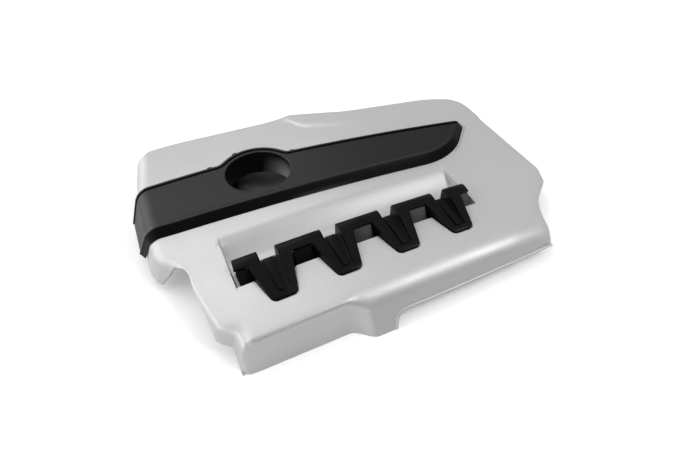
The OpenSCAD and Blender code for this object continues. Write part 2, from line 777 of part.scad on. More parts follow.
module runner_backing() {
    color(satin_black)
        difference() {
            union() {
                for (i = [0:3])
                    at_finger(i)
                        along(-finger_root / 2, finger_root / 2) backing_foot(0);
                at_bridges(4) backing_foot(bridge_step);
                at_bridges(-1)
                    polygon([[tab_y + 5, backing_top - 2], [tab_y + 7.5, backing_top - 2],
                        [bar_front_y + 2, bar_level - 7], [bar_front_y - 0.5, bar_level - 7]]);
            }
            for (i = [0:3])
                at_finger(i)
                    translate([0, runner_peg_y, 0])
                        cylinder(h = 100, d = peg_size + 2 * fit_gap, $fn = 24);
        }
}

// Rubber grommet with a socket that snaps over a ball stud
module grommet(p) {
    color(rubber)
        translate([p[0], p[1], 0])
            difference() {
                union() {
                    cylinder(h = flange_thick, d = grommet_flange, $fn = 48);
                    cylinder(h = flange_thick + grommet_height, d = grommet_size, $fn = 48);
                }
                translate([0, 0, -1])
                    cylinder(h = stud_depth + 1, d = stud_ball, $fn = 48);
                translate([0, 0, -0.01])
                    cylinder(h = 2, d1 = stud_ball + 4, d2 = stud_ball, $fn = 48);
            }
}

// Steel push nut round a peg
module push_nut() {
    color(steel)
        difference() {
            cylinder(h = nut_thick, d = nut_size, $fn = 36);
            translate([0, 0, -1])
                cylinder(h = nut_thick + 2, d = peg_size, $fn = 24);
        }
}

module band_push_nut(p) {
    lean = norm([band_slope, (p[0] - crown_x) / crown_radius]);
    translate([p[0], p[1], skin_at(p[0], p[1]) - wall - nut_thick - fit_gap / 2 - lean * nut_size / 2])
        push_nut();
}

module runner_push_nut(i) {
    at_finger(i)
        translate([0, runner_peg_y, pocket_floor - wall - nut_thick - fit_gap])
            push_nut();
}

// Foam pad under the flat rear part of the top
module sound_pad(x0, x1, y0, y1) {
    xs = [for (k = [0:6]) x0 + (x1 - x0) * k / 6];
    color(foam)
        across(y0, y1)
            polygon(concat(
                [for (x = xs) [x, rear_level - wall - fit_gap - crown_drop(x)]],
                [for (k = [6:-1:0]) [xs[k], rear_level - wall - fit_gap - crown_drop(xs[k]) - pad_thick]]));
}

module sound_pad_rear() {
    sound_pad(left_x + 84, pad_split_x - 6, rear_rib_y + 5, rear_y - 22);
}

module sound_pad_right() {
    sound_pad(pad_split_x + 6, stud_places[3][0] - socket_size, rear_rib_y + 5, rear_y - 46);
}

cover_shell();
band_trim();
runner_trim();
runner_backing();
grommet(stud_places[0]);  // grommet_front_left
grommet(stud_places[1]);  // grommet_front_right
grommet(stud_places[2]);  // grommet_rear_left
grommet(stud_places[3]);  // grommet_rear_right
band_push_nut(band_pegs[0]);  // band_push_nut_1
band_push_nut(band_pegs[1]);  // band_push_nut_2
band_push_nut(band_pegs[2]);  // band_push_nut_3
band_push_nut(band_pegs[3]);  // band_push_nut_4
band_push_nut(band_pegs[4]);  // band_push_nut_5
band_push_nut(band_pegs[5]);  // band_push_nut_6
runner_push_nut(0);  // runner_push_nut_1
runner_push_nut(1);  // runner_push_nut_2
runner_push_nut(2);  // runner_push_nut_3
runner_push_nut(3);  // runner_push_nut_4
sound_pad_rear();
sound_pad_right();
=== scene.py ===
import math

import bmesh
import bpy
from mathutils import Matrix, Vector
from mathutils.geometry import delaunay_2d_cdt


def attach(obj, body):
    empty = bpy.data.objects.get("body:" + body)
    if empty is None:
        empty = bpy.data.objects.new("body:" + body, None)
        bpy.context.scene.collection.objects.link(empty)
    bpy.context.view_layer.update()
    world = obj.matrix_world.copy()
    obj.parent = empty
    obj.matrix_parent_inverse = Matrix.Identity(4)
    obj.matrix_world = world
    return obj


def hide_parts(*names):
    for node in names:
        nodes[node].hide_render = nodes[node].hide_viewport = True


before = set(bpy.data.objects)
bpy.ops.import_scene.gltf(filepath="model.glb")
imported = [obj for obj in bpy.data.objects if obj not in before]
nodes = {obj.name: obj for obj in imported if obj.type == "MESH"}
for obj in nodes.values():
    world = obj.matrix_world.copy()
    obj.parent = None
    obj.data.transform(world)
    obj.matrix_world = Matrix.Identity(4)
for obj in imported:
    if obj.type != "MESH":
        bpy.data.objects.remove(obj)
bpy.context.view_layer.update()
scene = bpy.context.scene

# Materials


def new_material(name, color, rough, metallic=0.0, coat=0.0, coat_rough=0.1, specular=0.5):
    mat = bpy.data.materials.new(name)
    mat.use_nodes = True
    tree = mat.node_tree
    bsdf = tree.nodes["Principled BSDF"]
    bsdf.inputs["Base Color"].default_value = (*color, 1)
    bsdf.inputs["Roughness"].default_value = rough
    bsdf.inputs["Metallic"].default_value = metallic
    bsdf.inputs["Coat Weight"].default_value = coat
    bsdf.inputs["Coat Roughness"].default_value = coat_rough
    bsdf.inputs["Specular IOR Level"].default_value = specular
    return mat, tree, bsdf


def object_coords(tree):
    return tree.nodes.new("ShaderNodeTexCoord").outputs["Object"]


def parts_of(tree, vector):
    """X, Y and Z of a vector."""
    split = tree.nodes.new("ShaderNodeSeparateXYZ")
    tree.links.new(vector, split.inputs[0])
    return split.outputs


def noise(tree, coords, scale, detail=3.0, rough=0.5):
    n = tree.nodes.new("ShaderNodeTexNoise")
    n.inputs["Scale"].default_value = scale
    n.inputs["Detail"].default_value = detail
    n.inputs["Roughness"].default_value = rough
    tree.links.new(coords, n.inputs["Vector"])
    return n.outputs["Fac"]


def ramp(tree, value, low, high, a, b, shape="LINEAR"):
    r = tree.nodes.new("ShaderNodeMapRange")
    r.interpolation_type = shape
    for name, number in zip(("From Min", "From Max", "To Min", "To Max"), (low, high, a, b)):
        r.inputs[name].default_value = number
    tree.links.new(value, r.inputs["Value"])
    return r.outputs["Result"]


def combined(tree, operation, a, b):
    node = tree.nodes.new("ShaderNodeMath")
    node.operation = operation
    tree.links.new(a, node.inputs[0])
    tree.links.new(b, node.inputs[1])
    return node.outputs[0]


def compared(tree, operation, vector, fixed):
    """Distance of a vector to a fixed one, or their dot product."""
    node = tree.nodes.new("ShaderNodeVectorMath")
    node.operation = operation
    node.inputs[1].default_value = fixed
    tree.links.new(vector, node.inputs[0])
    return node.outputs["Value"]


def mix_color(tree, fac, a, b):
    m = tree.nodes.new("ShaderNodeMix")
    m.data_type = "RGBA"
    m.inputs[6].default_value = (*a, 1)
    m.inputs[7].default_value = (*b, 1)
    tree.links.new(fac, m.inputs[0])
    return m.outputs[2]


def gray(value, blue=0.0):
    return (value, value, value + blue)


def bump(tree, bsdf, heights, strength, distance):
    b = tree.nodes.new("ShaderNodeBump")
    b.inputs["Strength"].default_value = strength
    b.inputs["Distance"].default_value = distance
    tree.links.new(heights, b.inputs["Height"])
    tree.links.new(b.outputs["Normal"], bsdf.inputs["Normal"])


def silver_material():
    mat, tree, bsdf = new_material("silver_paint", (0.55, 0.55, 0.56), 0.44, metallic=0.35, coat=0.1,
                                   coat_rough=0.3)
    co = object_coords(tree)
    flake = noise(tree, co, 1400, 2, 0.6)
    cloud = noise(tree, co, 14, 3, 0.5)
    share = ramp(tree, flake, 0.35, 0.65, 0.0, 1.0)
    col = mix_color(tree, share, (0.455, 0.457, 0.462), (0.555, 0.557, 0.562))
    tree.links.new(col, bsdf.inputs["Base Color"])
    tree.links.new(ramp(tree, cloud, 0.3, 0.7, 0.38, 0.46), bsdf.inputs["Roughness"])
    bump(tree, bsdf, flake, 0.14, 0.0004)
    return mat


def black_plastic(name, low, high, rough_low, rough_high, grain=900, strength=0.12, specular=0.5):
    mat, tree, bsdf = new_material(name, high, rough_high, specular=specular)
    co = object_coords(tree)
    fine = noise(tree, co, grain, 4, 0.6)
    cloud = noise(tree, co, 22, 3, 0.5)
    share = ramp(tree, cloud, 0.3, 0.7, 0.0, 1.0)
    tree.links.new(mix_color(tree, share, low, high), bsdf.inputs["Base Color"])
    tree.links.new(ramp(tree, cloud, 0.3, 0.7, rough_low, rough_high), bsdf.inputs["Roughness"])
    bump(tree, bsdf, fine, strength, 0.0003)
    return mat


def backing_material():
    """Satin black strip with painted light: its colour turns lighter towards its right end."""
    mat, tree, bsdf = new_material("backing_black", gray(0.02), 0.6, specular=0.15)
    co = object_coords(tree)
    # Painted light: the colour runs from near black at the left end to dark grey at the right end, standing
    # in for light falling on the strip.
    share = ramp(tree, parts_of(tree, co)["X"], -0.09, -0.02, 0.0, 1.0)
    tree.links.new(mix_color(tree, share, gray(0.002), gray(0.085, 0.001)), bsdf.inputs["Base Color"])
    bump(tree, bsdf, noise(tree, co, 900, 4, 0.6), 0.1, 0.0003)
    return mat


# Middle of the painted highlight on the wall of the filler opening
PAINTED_BORE_LIGHT = (-0.040, 0.055, 0.030)


def band_material():
    """Black plastic, dull on the steep front face, with a painted highlight on the right wall of the filler
    opening.
    """
    mat = black_plastic("band_black", gray(0.0028, 0.0002), gray(0.0042, 0.0002), 0.40, 0.46, specular=0.36)
    tree = mat.node_tree
    bsdf = tree.nodes["Principled BSDF"]
    facing = parts_of(tree, tree.nodes.new("ShaderNodeTexCoord").outputs["Normal"])
    place = parts_of(tree, object_coords(tree))
    dull = ramp(tree, facing["Y"], -0.55, -0.15, 0.06, 0.32)
    along = ramp(tree, place["X"], -0.05, 0.25, 1.0, 0.5)
    tree.links.new(combined(tree, "MULTIPLY", dull, along), bsdf.inputs["Specular IOR Level"])
    # Painted highlight: low in the filler opening, near its right wall, the colour turns grey as if light
    # fell there.
    deep = ramp(tree, place["Z"], 0.040, 0.068, 1.0, 0.0)
    near = ramp(tree, compared(tree, "DISTANCE", object_coords(tree), PAINTED_BORE_LIGHT), 0.055, 0.090, 1.0, 0.0)
    share = combined(tree, "MULTIPLY", deep, near)
    tree.links.new(mix_color(tree, share, gray(0.0035, 0.0002), gray(0.26)), bsdf.inputs["Base Color"])
    return mat


silver = silver_material()
band_black = band_material()
runner_black = black_plastic("runner_black", gray(0.0018, 0.0001), gray(0.0028, 0.0001), 0.34, 0.42,
                             specular=0.10)
backing_black = backing_material()
inner_black = black_plastic("inner_black", gray(0.006), gray(0.009), 0.6, 0.75)
rubber = black_plastic("grommet_rubber", gray(0.018), gray(0.028, -0.001), 0.65, 0.8, 500, 0.25)
foam = black_plastic("pad_foam", gray(0.035, 0.002), gray(0.06, 0.002), 0.9, 1.0, 260, 0.8)
steel, steel_tree, steel_bsdf = new_material("nut_steel", gray(0.48, 0.02), 0.3, metallic=1.0)
steel_cloud = noise(steel_tree, object_coords(steel_tree), 300)
steel_tree.links.new(ramp(steel_tree, steel_cloud, 0.3, 0.7, 0.22, 0.4), steel_bsdf.inputs["Roughness"])


def assign(obj, mat):
    obj.data.materials.clear()
    obj.data.materials.append(mat)


def smooth(obj, angle=32):
    for p in obj.data.polygons:
        p.use_smooth = True
    obj.data.set_sharp_from_angle(angle=math.radians(angle))


finish = {"cover_shell": silver, "band_trim": band_black, "runner_trim": runner_black,
          "runner_backing": backing_black}
for name, obj in nodes.items():
    mat = finish.get(name)
    if mat is None:
        mat = rubber if name.startswith("grommet") else foam if name.startswith("sound_pad") else steel
    assign(obj, mat)
    smooth(obj)


# Sizes of the moulding in millimetres

LENGTH, DEPTH = 624.0, 456.0
LEFT, RIGHT, FRONT, REAR = -LENGTH / 2, LENGTH / 2, -DEPTH / 2, DEPTH / 2
CROWN_RADIUS, CROWN_X = 4450.0, -14.0
REAR_LEVEL, MID_LEVEL, FOLD_LEVEL = 72.0, 62.5, 48.5
SLOPE_START, SLOPE_MID = 112.0, -8.0
WALL = 3.0
LEFT_ROUND, LEFT_LEAN, LEFT_RIM = 24.0, 24.0, 19.0
RIGHT_ROUND, REAR_ROUND = 10.0, 14.0
FOLD_LEFT, FOLD_RIGHT = FRONT + 31, FRONT + 26
LEAN_LEFT, LEAN_RIGHT = 15.0, 30.0
ROUND_LEFT, ROUND_RIGHT = 7.0, 34.0
BELOW_FLOOR = 30.0
FRONT_SLOPE = (MID_LEVEL - FOLD_LEVEL) / (SLOPE_MID - FOLD_LEFT)
STEP_X, STEP_ROUND = -86.0, 16.0
POCKET_LEFT, POCKET_RIGHT = -213.0, 153.0
POCKET_REAR, POCKET_FLOOR, POCKET_RUN, TAB_Y = -26.0, 42.0, 45.0, -119.0
LEFT_RUN = [(-202, 72), (-176, 70), (-162, 54), (-148, 51), (-134, 48), (-119, 45), (-95, 41), (-62, 36),
            (-54, 32), (-46, 26), (-36, 16), (-26, 6), (-8, 0), (100, 0), (149, 6), (183, 11), (206, 13),
            (226, 24)]
TIGHT_RUN = [(-60, 0.45), (-20, 1)]
RIGHT_RUN = [(-227, 94), (-211, 85), (-200, 81), (-173, 71), (-158, 63), (-140, 49), (-125, 31), (-110, 12),
             (-97, 6), (-80, 0)]
REAR_RUN = [(-276, 0), (-208, 3), (-158, 7), (-106, 10), (-60, 11.5), (-19, 8), (4, 14), (40, 25), (80, 37),
            (132, 44), (194, 50), (231, 53), (268, 61), (296, 73), (306, 90), (312, 118)]
BULGE_RUN = [(-60, 208), (-28, 203), (-19, 182), (-8, 167), (20, 154), (53, 143), (111, 134), (203, 115),
             (277, 88), (312, 76)]
BULGE = 2.0


def tan(a):
    return math.tan(math.radians(a))


def soft(t):
    u = max(0.0, min(1.0, t))
    return u * u * (3 - 2 * u)


def along_run(run, t):
    """Smooth monotone curve through the pairs of a run."""
    if t <= run[0][0]:
        return run[0][1]
    if t >= run[-1][0]:
        return run[-1][1]
    i = max(k for k in range(len(run) - 1) if run[k][0] <= t)

    def slope(k):
        return (run[k + 1][1] - run[k][1]) / (run[k + 1][0] - run[k][0])

    def tangent(k):
        if k <= 0 or k >= len(run) - 1:
            return 0.0
        a, b = slope(k - 1), slope(k)
        return 0.0 if a * b <= 0 else 2 * a * b / (a + b)

    h = run[i + 1][0] - run[i][0]
    u = (t - run[i][0]) / h
    m0, m1 = tangent(i) * h, tangent(i + 1) * h
    return ((2 * u ** 3 - 3 * u ** 2 + 1) * run[i][1] + (u ** 3 - 2 * u ** 2 + u) * m0
            + (3 * u ** 2 - 2 * u ** 3) * run[i + 1][1] + (u ** 3 - u ** 2) * m1)


def top_at(y):
    if y <= SLOPE_MID:
        return MID_LEVEL + FRONT_SLOPE * (y - SLOPE_MID)
    slope = (REAR_LEVEL - MID_LEVEL) / (SLOPE_START - SLOPE_MID)
    t = y - SLOPE_START
    ease = 12.0
    if t > ease:
        return REAR_LEVEL
    if t < -ease:
        return REAR_LEVEL + slope * t
    return REAR_LEVEL - slope * (ease - t) ** 2 / (4 * ease)


def bulge_at(x, y):
    """Height of the raised strip along the rear edge, right of its step."""
    return BULGE * soft((y - along_run(BULGE_RUN, x) + 7) / 14) * soft((x + 40) / 26)


def crown_drop(x):
    return CROWN_RADIUS - math.sqrt(CROWN_RADIUS ** 2 - (x - CROWN_X) ** 2)


def skirt_share(x):
    return soft((x - STEP_X + STEP_ROUND) / (2 * STEP_ROUND))


def rear_at(x):
    return REAR - along_run(REAR_RUN, x)


def pocket_depth(y):
    if y <= TAB_Y or y >= POCKET_REAR:
        return 0.0
    share = (y - TAB_Y) / 2 if y < TAB_Y + 2 else 1 - soft((y - POCKET_REAR + POCKET_RUN) / POCKET_RUN)
    return (top_at(y) - POCKET_FLOOR) * share


def front_rows(x, s, steps=9):
    """Front skirt and fold of the side view at x, for a skin set in by s."""
    share = skirt_share(x)
    fy = FOLD_LEFT + (FOLD_RIGHT - FOLD_LEFT) * share
    lean = LEAN_LEFT + (LEAN_RIGHT - LEAN_LEFT) * share
    full = ROUND_LEFT + (ROUND_RIGHT - ROUND_LEFT) * share
    r, high = max(1.0, full - s), top_at(fy)
    tilt = math.degrees(math.atan(FRONT_SLOPE))
    turn = 90 - lean - tilt
    ct, st = math.cos(math.radians(tilt)), math.sin(math.radians(tilt))
    py, pz = fy + s / math.cos(math.radians(lean)), high - s / ct
    t = (full - s) * tan(turn / 2)
    cy, cz = py + t * ct + r * st, pz + t * st - r * ct
    rows = [(py - (pz + BELOW_FLOOR + s) * tan(lean), -BELOW_FLOOR - s)]
    for k in range(steps + 1):
        a = math.radians(180 - lean - k * turn / steps)
        rows.append((cy + r * math.cos(a), cz + r * math.sin(a)))
    return rows


def rear_rows(x, s, steps=7):
    """Rounded rear edge of the side view at x, for a skin set in by s."""
    ry, r = rear_at(x) - s, REAR_ROUND - s
    high = REAR_LEVEL - s + bulge_at(x, ry - r)
    rows = []
    for k in range(steps + 1):
        a = math.radians(90 - 90 * k / steps)
        rows.append((ry - r + r * math.cos(a), high - r + r * math.sin(a)))
    return rows + [(ry, -BELOW_FLOOR - s)]


def span(a, b, n):
    return [a + (b - a) * k / n for k in range(1, n)]


def side_rows(x, s):
    """Whole side view at x, from the front skirt to the foot of the rear."""
    sunk = soft((x - POCKET_LEFT + s) / 3) if x < POCKET_RIGHT - 0.1 + s else 0.0
    front, rear = front_rows(x, s), rear_rows(x, s)
    rows = list(front)
    rows += [(y, top_at(y) - s) for y in span(front[-1][0], TAB_Y - s, 9)]
    middle = [(TAB_Y - s, 0), (TAB_Y + 0.6 - s, 0.3), (TAB_Y + 1.4 - s, 0.7), (TAB_Y + 2 - s, 1.0)]
    for y, share in middle:
        rows.append((y, top_at(y) - s - (top_at(y) - POCKET_FLOOR) * share * sunk))
    start = POCKET_REAR - POCKET_RUN
    for y in span(TAB_Y + 2 - s, start, 8) + [start] + span(start, POCKET_REAR, 13):
        depth = (top_at(y) - POCKET_FLOOR) if y <= start else pocket_depth(y)
        lead = s * 0.5 if y > start else 0
        rows.append((y + lead, top_at(y) - s - depth * sunk))
    rows += [(y, top_at(y) - s) for y in [POCKET_REAR] + span(POCKET_REAR, SLOPE_MID, 4) + [SLOPE_MID]]
    e = rear[0][0]
    mid = min(along_run(BULGE_RUN, x), e - 10)
    for y in span(SLOPE_MID, mid - 9, 16) + span(mid - 9.5, mid + 9, 9) + span(mid + 9, e, 5):
        rows.append((y, top_at(y) - s + bulge_at(x, y)))
    return rows + rear


def columns(s):
    """Each column's place, drop, shares of the left and right run, whether it is a foot, and roll start."""
    r, turn = LEFT_ROUND - s, 90 - LEFT_LEAN
    tz = REAR_LEVEL - crown_drop(LEFT + LEFT_ROUND) - LEFT_ROUND * (1 - math.cos(math.radians(turn)))
    tx = LEFT + (tz - LEFT_RIM) * tan(LEFT_LEAN)
    sx = tx + LEFT_ROUND * math.sin(math.radians(turn))
    foot = tx + s * math.sin(math.radians(turn)) - 60 * tan(LEFT_LEAN)
    cols = [(foot, 0, 1, 0, True, foot)]
    for k in range(11):
        a = math.radians(turn - turn * k / 10)
        x = sx - r * math.sin(a)
        cols.append((x, crown_drop(sx) + r * (1 - math.cos(a)), 1, 0, False, x))
    right_start = RIGHT - RIGHT_ROUND
    places = span(sx, POCKET_LEFT - s, 9) + [POCKET_LEFT - s + d for d in (0, 0.75, 1.5, 2.25, 3)]
    places += span(POCKET_LEFT + 3 - s, STEP_X - 20, 14) + span(STEP_X - 20, STEP_X + 20, 15)
    places += span(STEP_X + 20, POCKET_RIGHT - 2 + s, 26)
    places += [POCKET_RIGHT + s + d for d in (-2, -1.4, -0.6, 0)]
    places += span(POCKET_RIGHT + s, right_start, 18)
    for x in places:
        cols.append((x, crown_drop(x), max(0.0, (POCKET_LEFT - x - 4) / (POCKET_LEFT - sx - 4)),
                     max(0.0, (x - POCKET_RIGHT - 10) / (right_start - POCKET_RIGHT - 10)), False, sx))
    q = RIGHT_ROUND - s
    for k in range(7):
        a = math.radians(90 * k / 6)
        x = RIGHT - s - q + q * math.sin(a)
        cols.append((x, crown_drop(RIGHT) + q * (1 - math.cos(a)), 0, 1, False, sx))
    return cols + [(RIGHT - s, 0, 0, 1, True, sx)]


def skin_points(s):
    cols = columns(s)
    sides = [side_rows(c[0], s) for c in cols]
    rows = len(sides[0])
    points = []
    for j in range(rows):
        for c, side in zip(cols, sides):
            y, z = side[j]
            tight = along_run(TIGHT_RUN, y)
            x = c[0] + c[2] * along_run(LEFT_RUN, y) - c[3] * along_run(RIGHT_RUN, y)
            x -= (c[5] - LEFT) * c[2] * (1 - tight)
            z = -BELOW_FLOOR if j in (0, rows - 1) or c[4] else z - c[1]
            points.append((x, y, z))
    return points, rows, len(cols)


def mesh_object(name, verts, faces, scale=0.001):
    mesh = bpy.data.meshes.new(name)
    mesh.from_pydata([(v[0] * scale, v[1] * scale, v[2] * scale) for v in verts], [], faces)
    mesh.validate()
    obj = bpy.data.objects.new(name, mesh)
    scene.collection.objects.link(obj)
    return obj


def grid_solid(name, high, low, rows, n):
    """Solid between an outer and an inner grid of points, with the dark finish inside."""
    m = rows * n
    top = [(j * n + i, j * n + i + 1, (j + 1) * n + i + 1, (j + 1) * n + i)
           for j in range(rows - 1) for i in range(n - 1)]
    bottom = [(m + f[0], m + f[3], m + f[2], m + f[1]) for f in top]
    rim = list(range(n)) + [j * n + n - 1 for j in range(1, rows)]
    rim += [(rows - 1) * n + i for i in range(n - 2, -1, -1)] + [j * n for j in range(rows - 2, 0, -1)]
    edge = [(a, m + a, m + b, b) for a, b in zip(rim, rim[1:] + rim[:1])]
    obj = mesh_object(name, high + low, top + bottom + edge)
    for mat in (silver, inner_black):
        obj.data.materials.append(mat)
    for k, face in enumerate(obj.data.polygons):
        face.material_index = 1 if len(top) <= k < 2 * len(top) else 0
    return obj


def face_out(obj):
    """Turns all faces of a closed mesh outwards."""
    bm = bmesh.new()
    bm.from_mesh(obj.data)
    bmesh.ops.recalc_face_normals(bm, faces=bm.faces)
    bm.to_mesh(obj.data)
    bm.free()
    return obj


def prism(name, outline, low, high, axis="z"):
    """Closed prism over an outline: along z from above, or along x or y over a side view."""
    n = len(outline)

    def place(p, h):
        return (p[0], p[1], h) if axis == "z" else (h, p[0], p[1]) if axis == "x" else (p[0], h, p[1])

    verts = [place(p, low) for p in outline] + [place(p, high) for p in outline]
    faces = [tuple(range(n)), tuple(range(2 * n - 1, n - 1, -1))]
    faces += [(k, n + k, n + (k + 1) % n, (k + 1) % n) for k in range(n)]
    return face_out(mesh_object(name, verts, faces))


def settled(obj):
    """Applies the modifiers of obj for good."""
    bpy.context.view_layer.update()
    done = bpy.data.meshes.new_from_object(obj.evaluated_get(bpy.context.evaluated_depsgraph_get()))
    obj.modifiers.clear()
    old = obj.data
    obj.data = done
    bpy.data.meshes.remove(old)


def cut(obj, tools, operation="DIFFERENCE"):
    """Booleans the tools out of obj (or into it) for good, and removes the tools."""
    for tool in tools:
        mod = obj.modifiers.new("cut", "BOOLEAN")
        mod.operation = operation
        mod.solver = "MANIFOLD"
        mod.object = tool
        settled(obj)
        data = tool.data
        bpy.data.objects.remove(tool)
        bpy.data.meshes.remove(data)


def tube(name, path, radius, sides=12):
    """Round tube with closed ends along a path in millimetres."""
    verts, faces = [], []
    for k, p in enumerate(path):
        a, b = Vector(path[max(0, k - 1)]), Vector(path[min(len(path) - 1, k + 1)])
        d = (b - a).normalized()
        side = d.cross(Vector((0, 0, 1)) if abs(d.z) < 0.9 else Vector((0, 1, 0))).normalized()
        up = side.cross(d)
        for n in range(sides):
            t = 2 * math.pi * n / sides
            verts.append(tuple(Vector(p) + (side * math.cos(t) + up * math.sin(t)) * radius))
    for k in range(len(path) - 1):
        for n in range(sides):
            m = (n + 1) % sides
            faces.append((k * sides + n, k * sides + m, (k + 1) * sides + m, (k + 1) * sides + n))
    faces.append(tuple(range(sides - 1, -1, -1)))
    faces.append(tuple((len(path) - 1) * sides + n for n in range(sides)))
    return mesh_object(name, verts, faces)


def ring(name, x, y, profile, sides=48):
    """Turned ring over a closed profile of radius and height pairs."""
    n = len(profile)
    verts = [(x + r * math.cos(2 * math.pi * k / sides), y + r * math.sin(2 * math.pi * k / sides), z)
             for k in range(sides) for r, z in profile]
    faces = [(k * n + i, ((k + 1) % sides) * n + i, ((k + 1) % sides) * n + (i + 1) % n, k * n + (i + 1) % n)
             for k in range(sides) for i in range(n)]
    return mesh_object(name, verts, faces)


def join(target, others):
    """Adds the meshes of others to target and removes them."""
    bm = bmesh.new()
    bm.from_mesh(target.data)
    for other in others:
        start = len(bm.faces)
        bm.from_mesh(other.data)
        bm.faces.ensure_lookup_table()
        slot = other.get("slot_index", 0)
        for face in bm.faces[start:]:
            face.material_index = slot
        data = other.data
        bpy.data.objects.remove(other)
        bpy.data.meshes.remove(data)
    bm.to_mesh(target.data)
    bm.free()


# Silver moulding

STUDS = [(-200, -174), (202, -166), (-252, 178), (190, 132)]
BAND_PEGS = [(-250, 55), (-228, 92), (-20, 62), (40, 20), (110, 52), (185, 36)]
PEG_R, PEG_HOLE_R = 2.4, 2.8
FILLER_X, FILLER_Y, FILLER_R = -119.0, 74.0, 50.0
FACE_EDGE_R, COLLAR_R = FILLER_R + 1.8, FILLER_R + 2.5
FINGERS = [-162.0, -74.0, 14.0, 102.0]
FINGER_ROOT, FINGER_TIP, FINGER_END, FINGER_ROUND = 30.0, 16.5, -158.0, 7.0
BED_GAP, BED_DEPTH, BED_START = 2.3, 2.0, -104.0

high, row_count, col_count = skin_points(0)
low = skin_points(WALL)[0]
skin = grid_solid("cover_skin", high, low, row_count, col_count)

rim_view = [(300, -80), (300, 19), (8, 19), (-12, 16), (-32, 9), (-39, 26), (-46, 46), (-56, 50),
            (-72, 49.5), (-95, 45), (-119, 40), (-134, 36), (-148, 28), (-158, 19), (-163, 17), (-176, 16),
            (-186, 8), (-200, 0), (-200, -80)]
foot_view = [(-45, -1), (-43, 5), (-40.6, 9.5), (-37.5, 12.6), (-33.5, 15.2), (-29, 16.6), (-23, 17),
             (380, 17), (380, -80), (-45, -80)]
cut(skin, [
    prism("cut_floor", [(-400, -320), (400, -320), (400, 320), (-400, 320)], -90, 0),
    prism("cut_rim", [(-234, -130), (400, -130), (400, 320), (-234, 320)], -80, 22),
    prism("cut_bead", foot_view, -300, 300, "y"),
    prism("cut_left", rim_view, -380, -228, "x"),
])


def skin_z(x, y):
    """Height of the silver top, with its right part pulled in as the skin's columns are."""
    start = POCKET_RIGHT + 10
    if x > start:
        run = RIGHT - RIGHT_ROUND - start
        pull = along_run(RIGHT_RUN, y)
        x = (run * x - pull * start) / (run - pull)
    return top_at(y) - crown_drop(x)


def circle(x, y, r, n=96):
    return [(x + r * math.cos(2 * math.pi * k / n), y + r * math.sin(2 * math.pi * k / n)) for k in range(n)]


def at_crown(x, points):
    """Moves points given round x 0 to a place on the crown and tilts them with it."""
    a = -math.asin((x - CROWN_X) / CROWN_RADIUS)
    moved = []
    for px, py, pz in points:
        dx, dz = px, pz - MID_LEVEL
        moved.append((x + dx * math.cos(a) - dz * math.sin(a), py,
                      MID_LEVEL - crown_drop(x) + dx * math.sin(a) + dz * math.cos(a)))
    return moved


def bed_cutter(x):
    """Shallow bed round one finger, with its floor parallel to the silver top."""
    r, wide = FINGER_ROUND, FINGER_ROUND + BED_GAP
    outline = [(-FINGER_ROOT - BED_GAP, BED_START)]
    for side, a0, a1 in ((-1, 190, 270), (1, 270, 350)):
        for k in range(7):
            a = math.radians(a0 + (a1 - a0) * k / 6)
            outline.append((side * (FINGER_TIP - r) + wide * math.cos(a),
                            FINGER_END + r + wide * math.sin(a)))
    outline.append((FINGER_ROOT + BED_GAP, BED_START))
    n = len(outline)
    pts = [(px, py, top_at(py) - BED_DEPTH) for px, py in outline] + [(px, py, 90.0) for px, py in outline]
    faces = [tuple(range(n)), tuple(range(2 * n - 1, n - 1, -1))]
    faces += [(k, n + k, n + (k + 1) % n, (k + 1) % n) for k in range(n)]
    return face_out(mesh_object("bed", at_crown(x, pts), faces))


def nut_places(prefix):
    """Middle in plan and underside of each push nut."""
    places = []
    for name, obj in nodes.items():
        if name.startswith(prefix):
            corners = [obj.matrix_world @ Vector(c) for c in obj.bound_box]
            low, high = (Vector([f(c[k] for c in corners) for k in range(3)]) * 1000 for f in (min, max))
            places.append(((low.x + high.x) / 2, (low.y + high.y) / 2, low.z))
    return places


tools = [prism("filler_hole", circle(FILLER_X, FILLER_Y, FILLER_R + 2.8), 0, 100)]
tools += [prism("peg_hole", circle(x, y, PEG_HOLE_R, 20), 30, 90) for x, y in BAND_PEGS]
tools += [prism("peg_hole", circle(x, y, PEG_HOLE_R, 20), 30, 46)
          for x, y, _ in nut_places("runner_push_nut")]
tools += [bed_cutter(x) for x in FINGERS]
cut(skin, tools)


# Band, laid out flat as length u along its face and place y along the depth

BAND_TOP, BAND_OVER = 75.0, 3.0
ROLL = LEFT_ROUND + BAND_OVER
SIDE_TURN = math.radians(90 - LEFT_LEAN)
ROLL_X = columns(0)[-1][5]
ROLL_Z = BAND_TOP - crown_drop(ROLL_X) - ROLL
BAND_END = 19.0
END_U = ROLL_X - ROLL * SIDE_TURN - (ROLL_Z + ROLL * math.cos(SIDE_TURN) - BAND_END) / math.sin(SIDE_TURN)
TIP_X, TIP_Y = 255.0, 66.0
FACE_DEPTH = 1.3
BEVEL = 11.0


def band_point(u, y, d):
    if u >= ROLL_X:
        return (u, y, BAND_TOP - crown_drop(u) - d)
    turn = min((ROLL_X - u) / ROLL, SIDE_TURN)
    rest = max(0.0, ROLL_X - u - ROLL * SIDE_TURN)
    r = ROLL - d
    return (ROLL_X - r * math.sin(turn) - rest * math.cos(SIDE_TURN), y,
            ROLL_Z + r * math.cos(turn) - rest * math.sin(SIDE_TURN))


def skin_depth(u, y):
    """Depth of the silver skin below the band's ridge."""
    turn = max(0.0, min((ROLL_X - u) / ROLL, SIDE_TURN))
    return BAND_OVER + (REAR_LEVEL - top_at(y)) * math.cos(turn) - 0.2


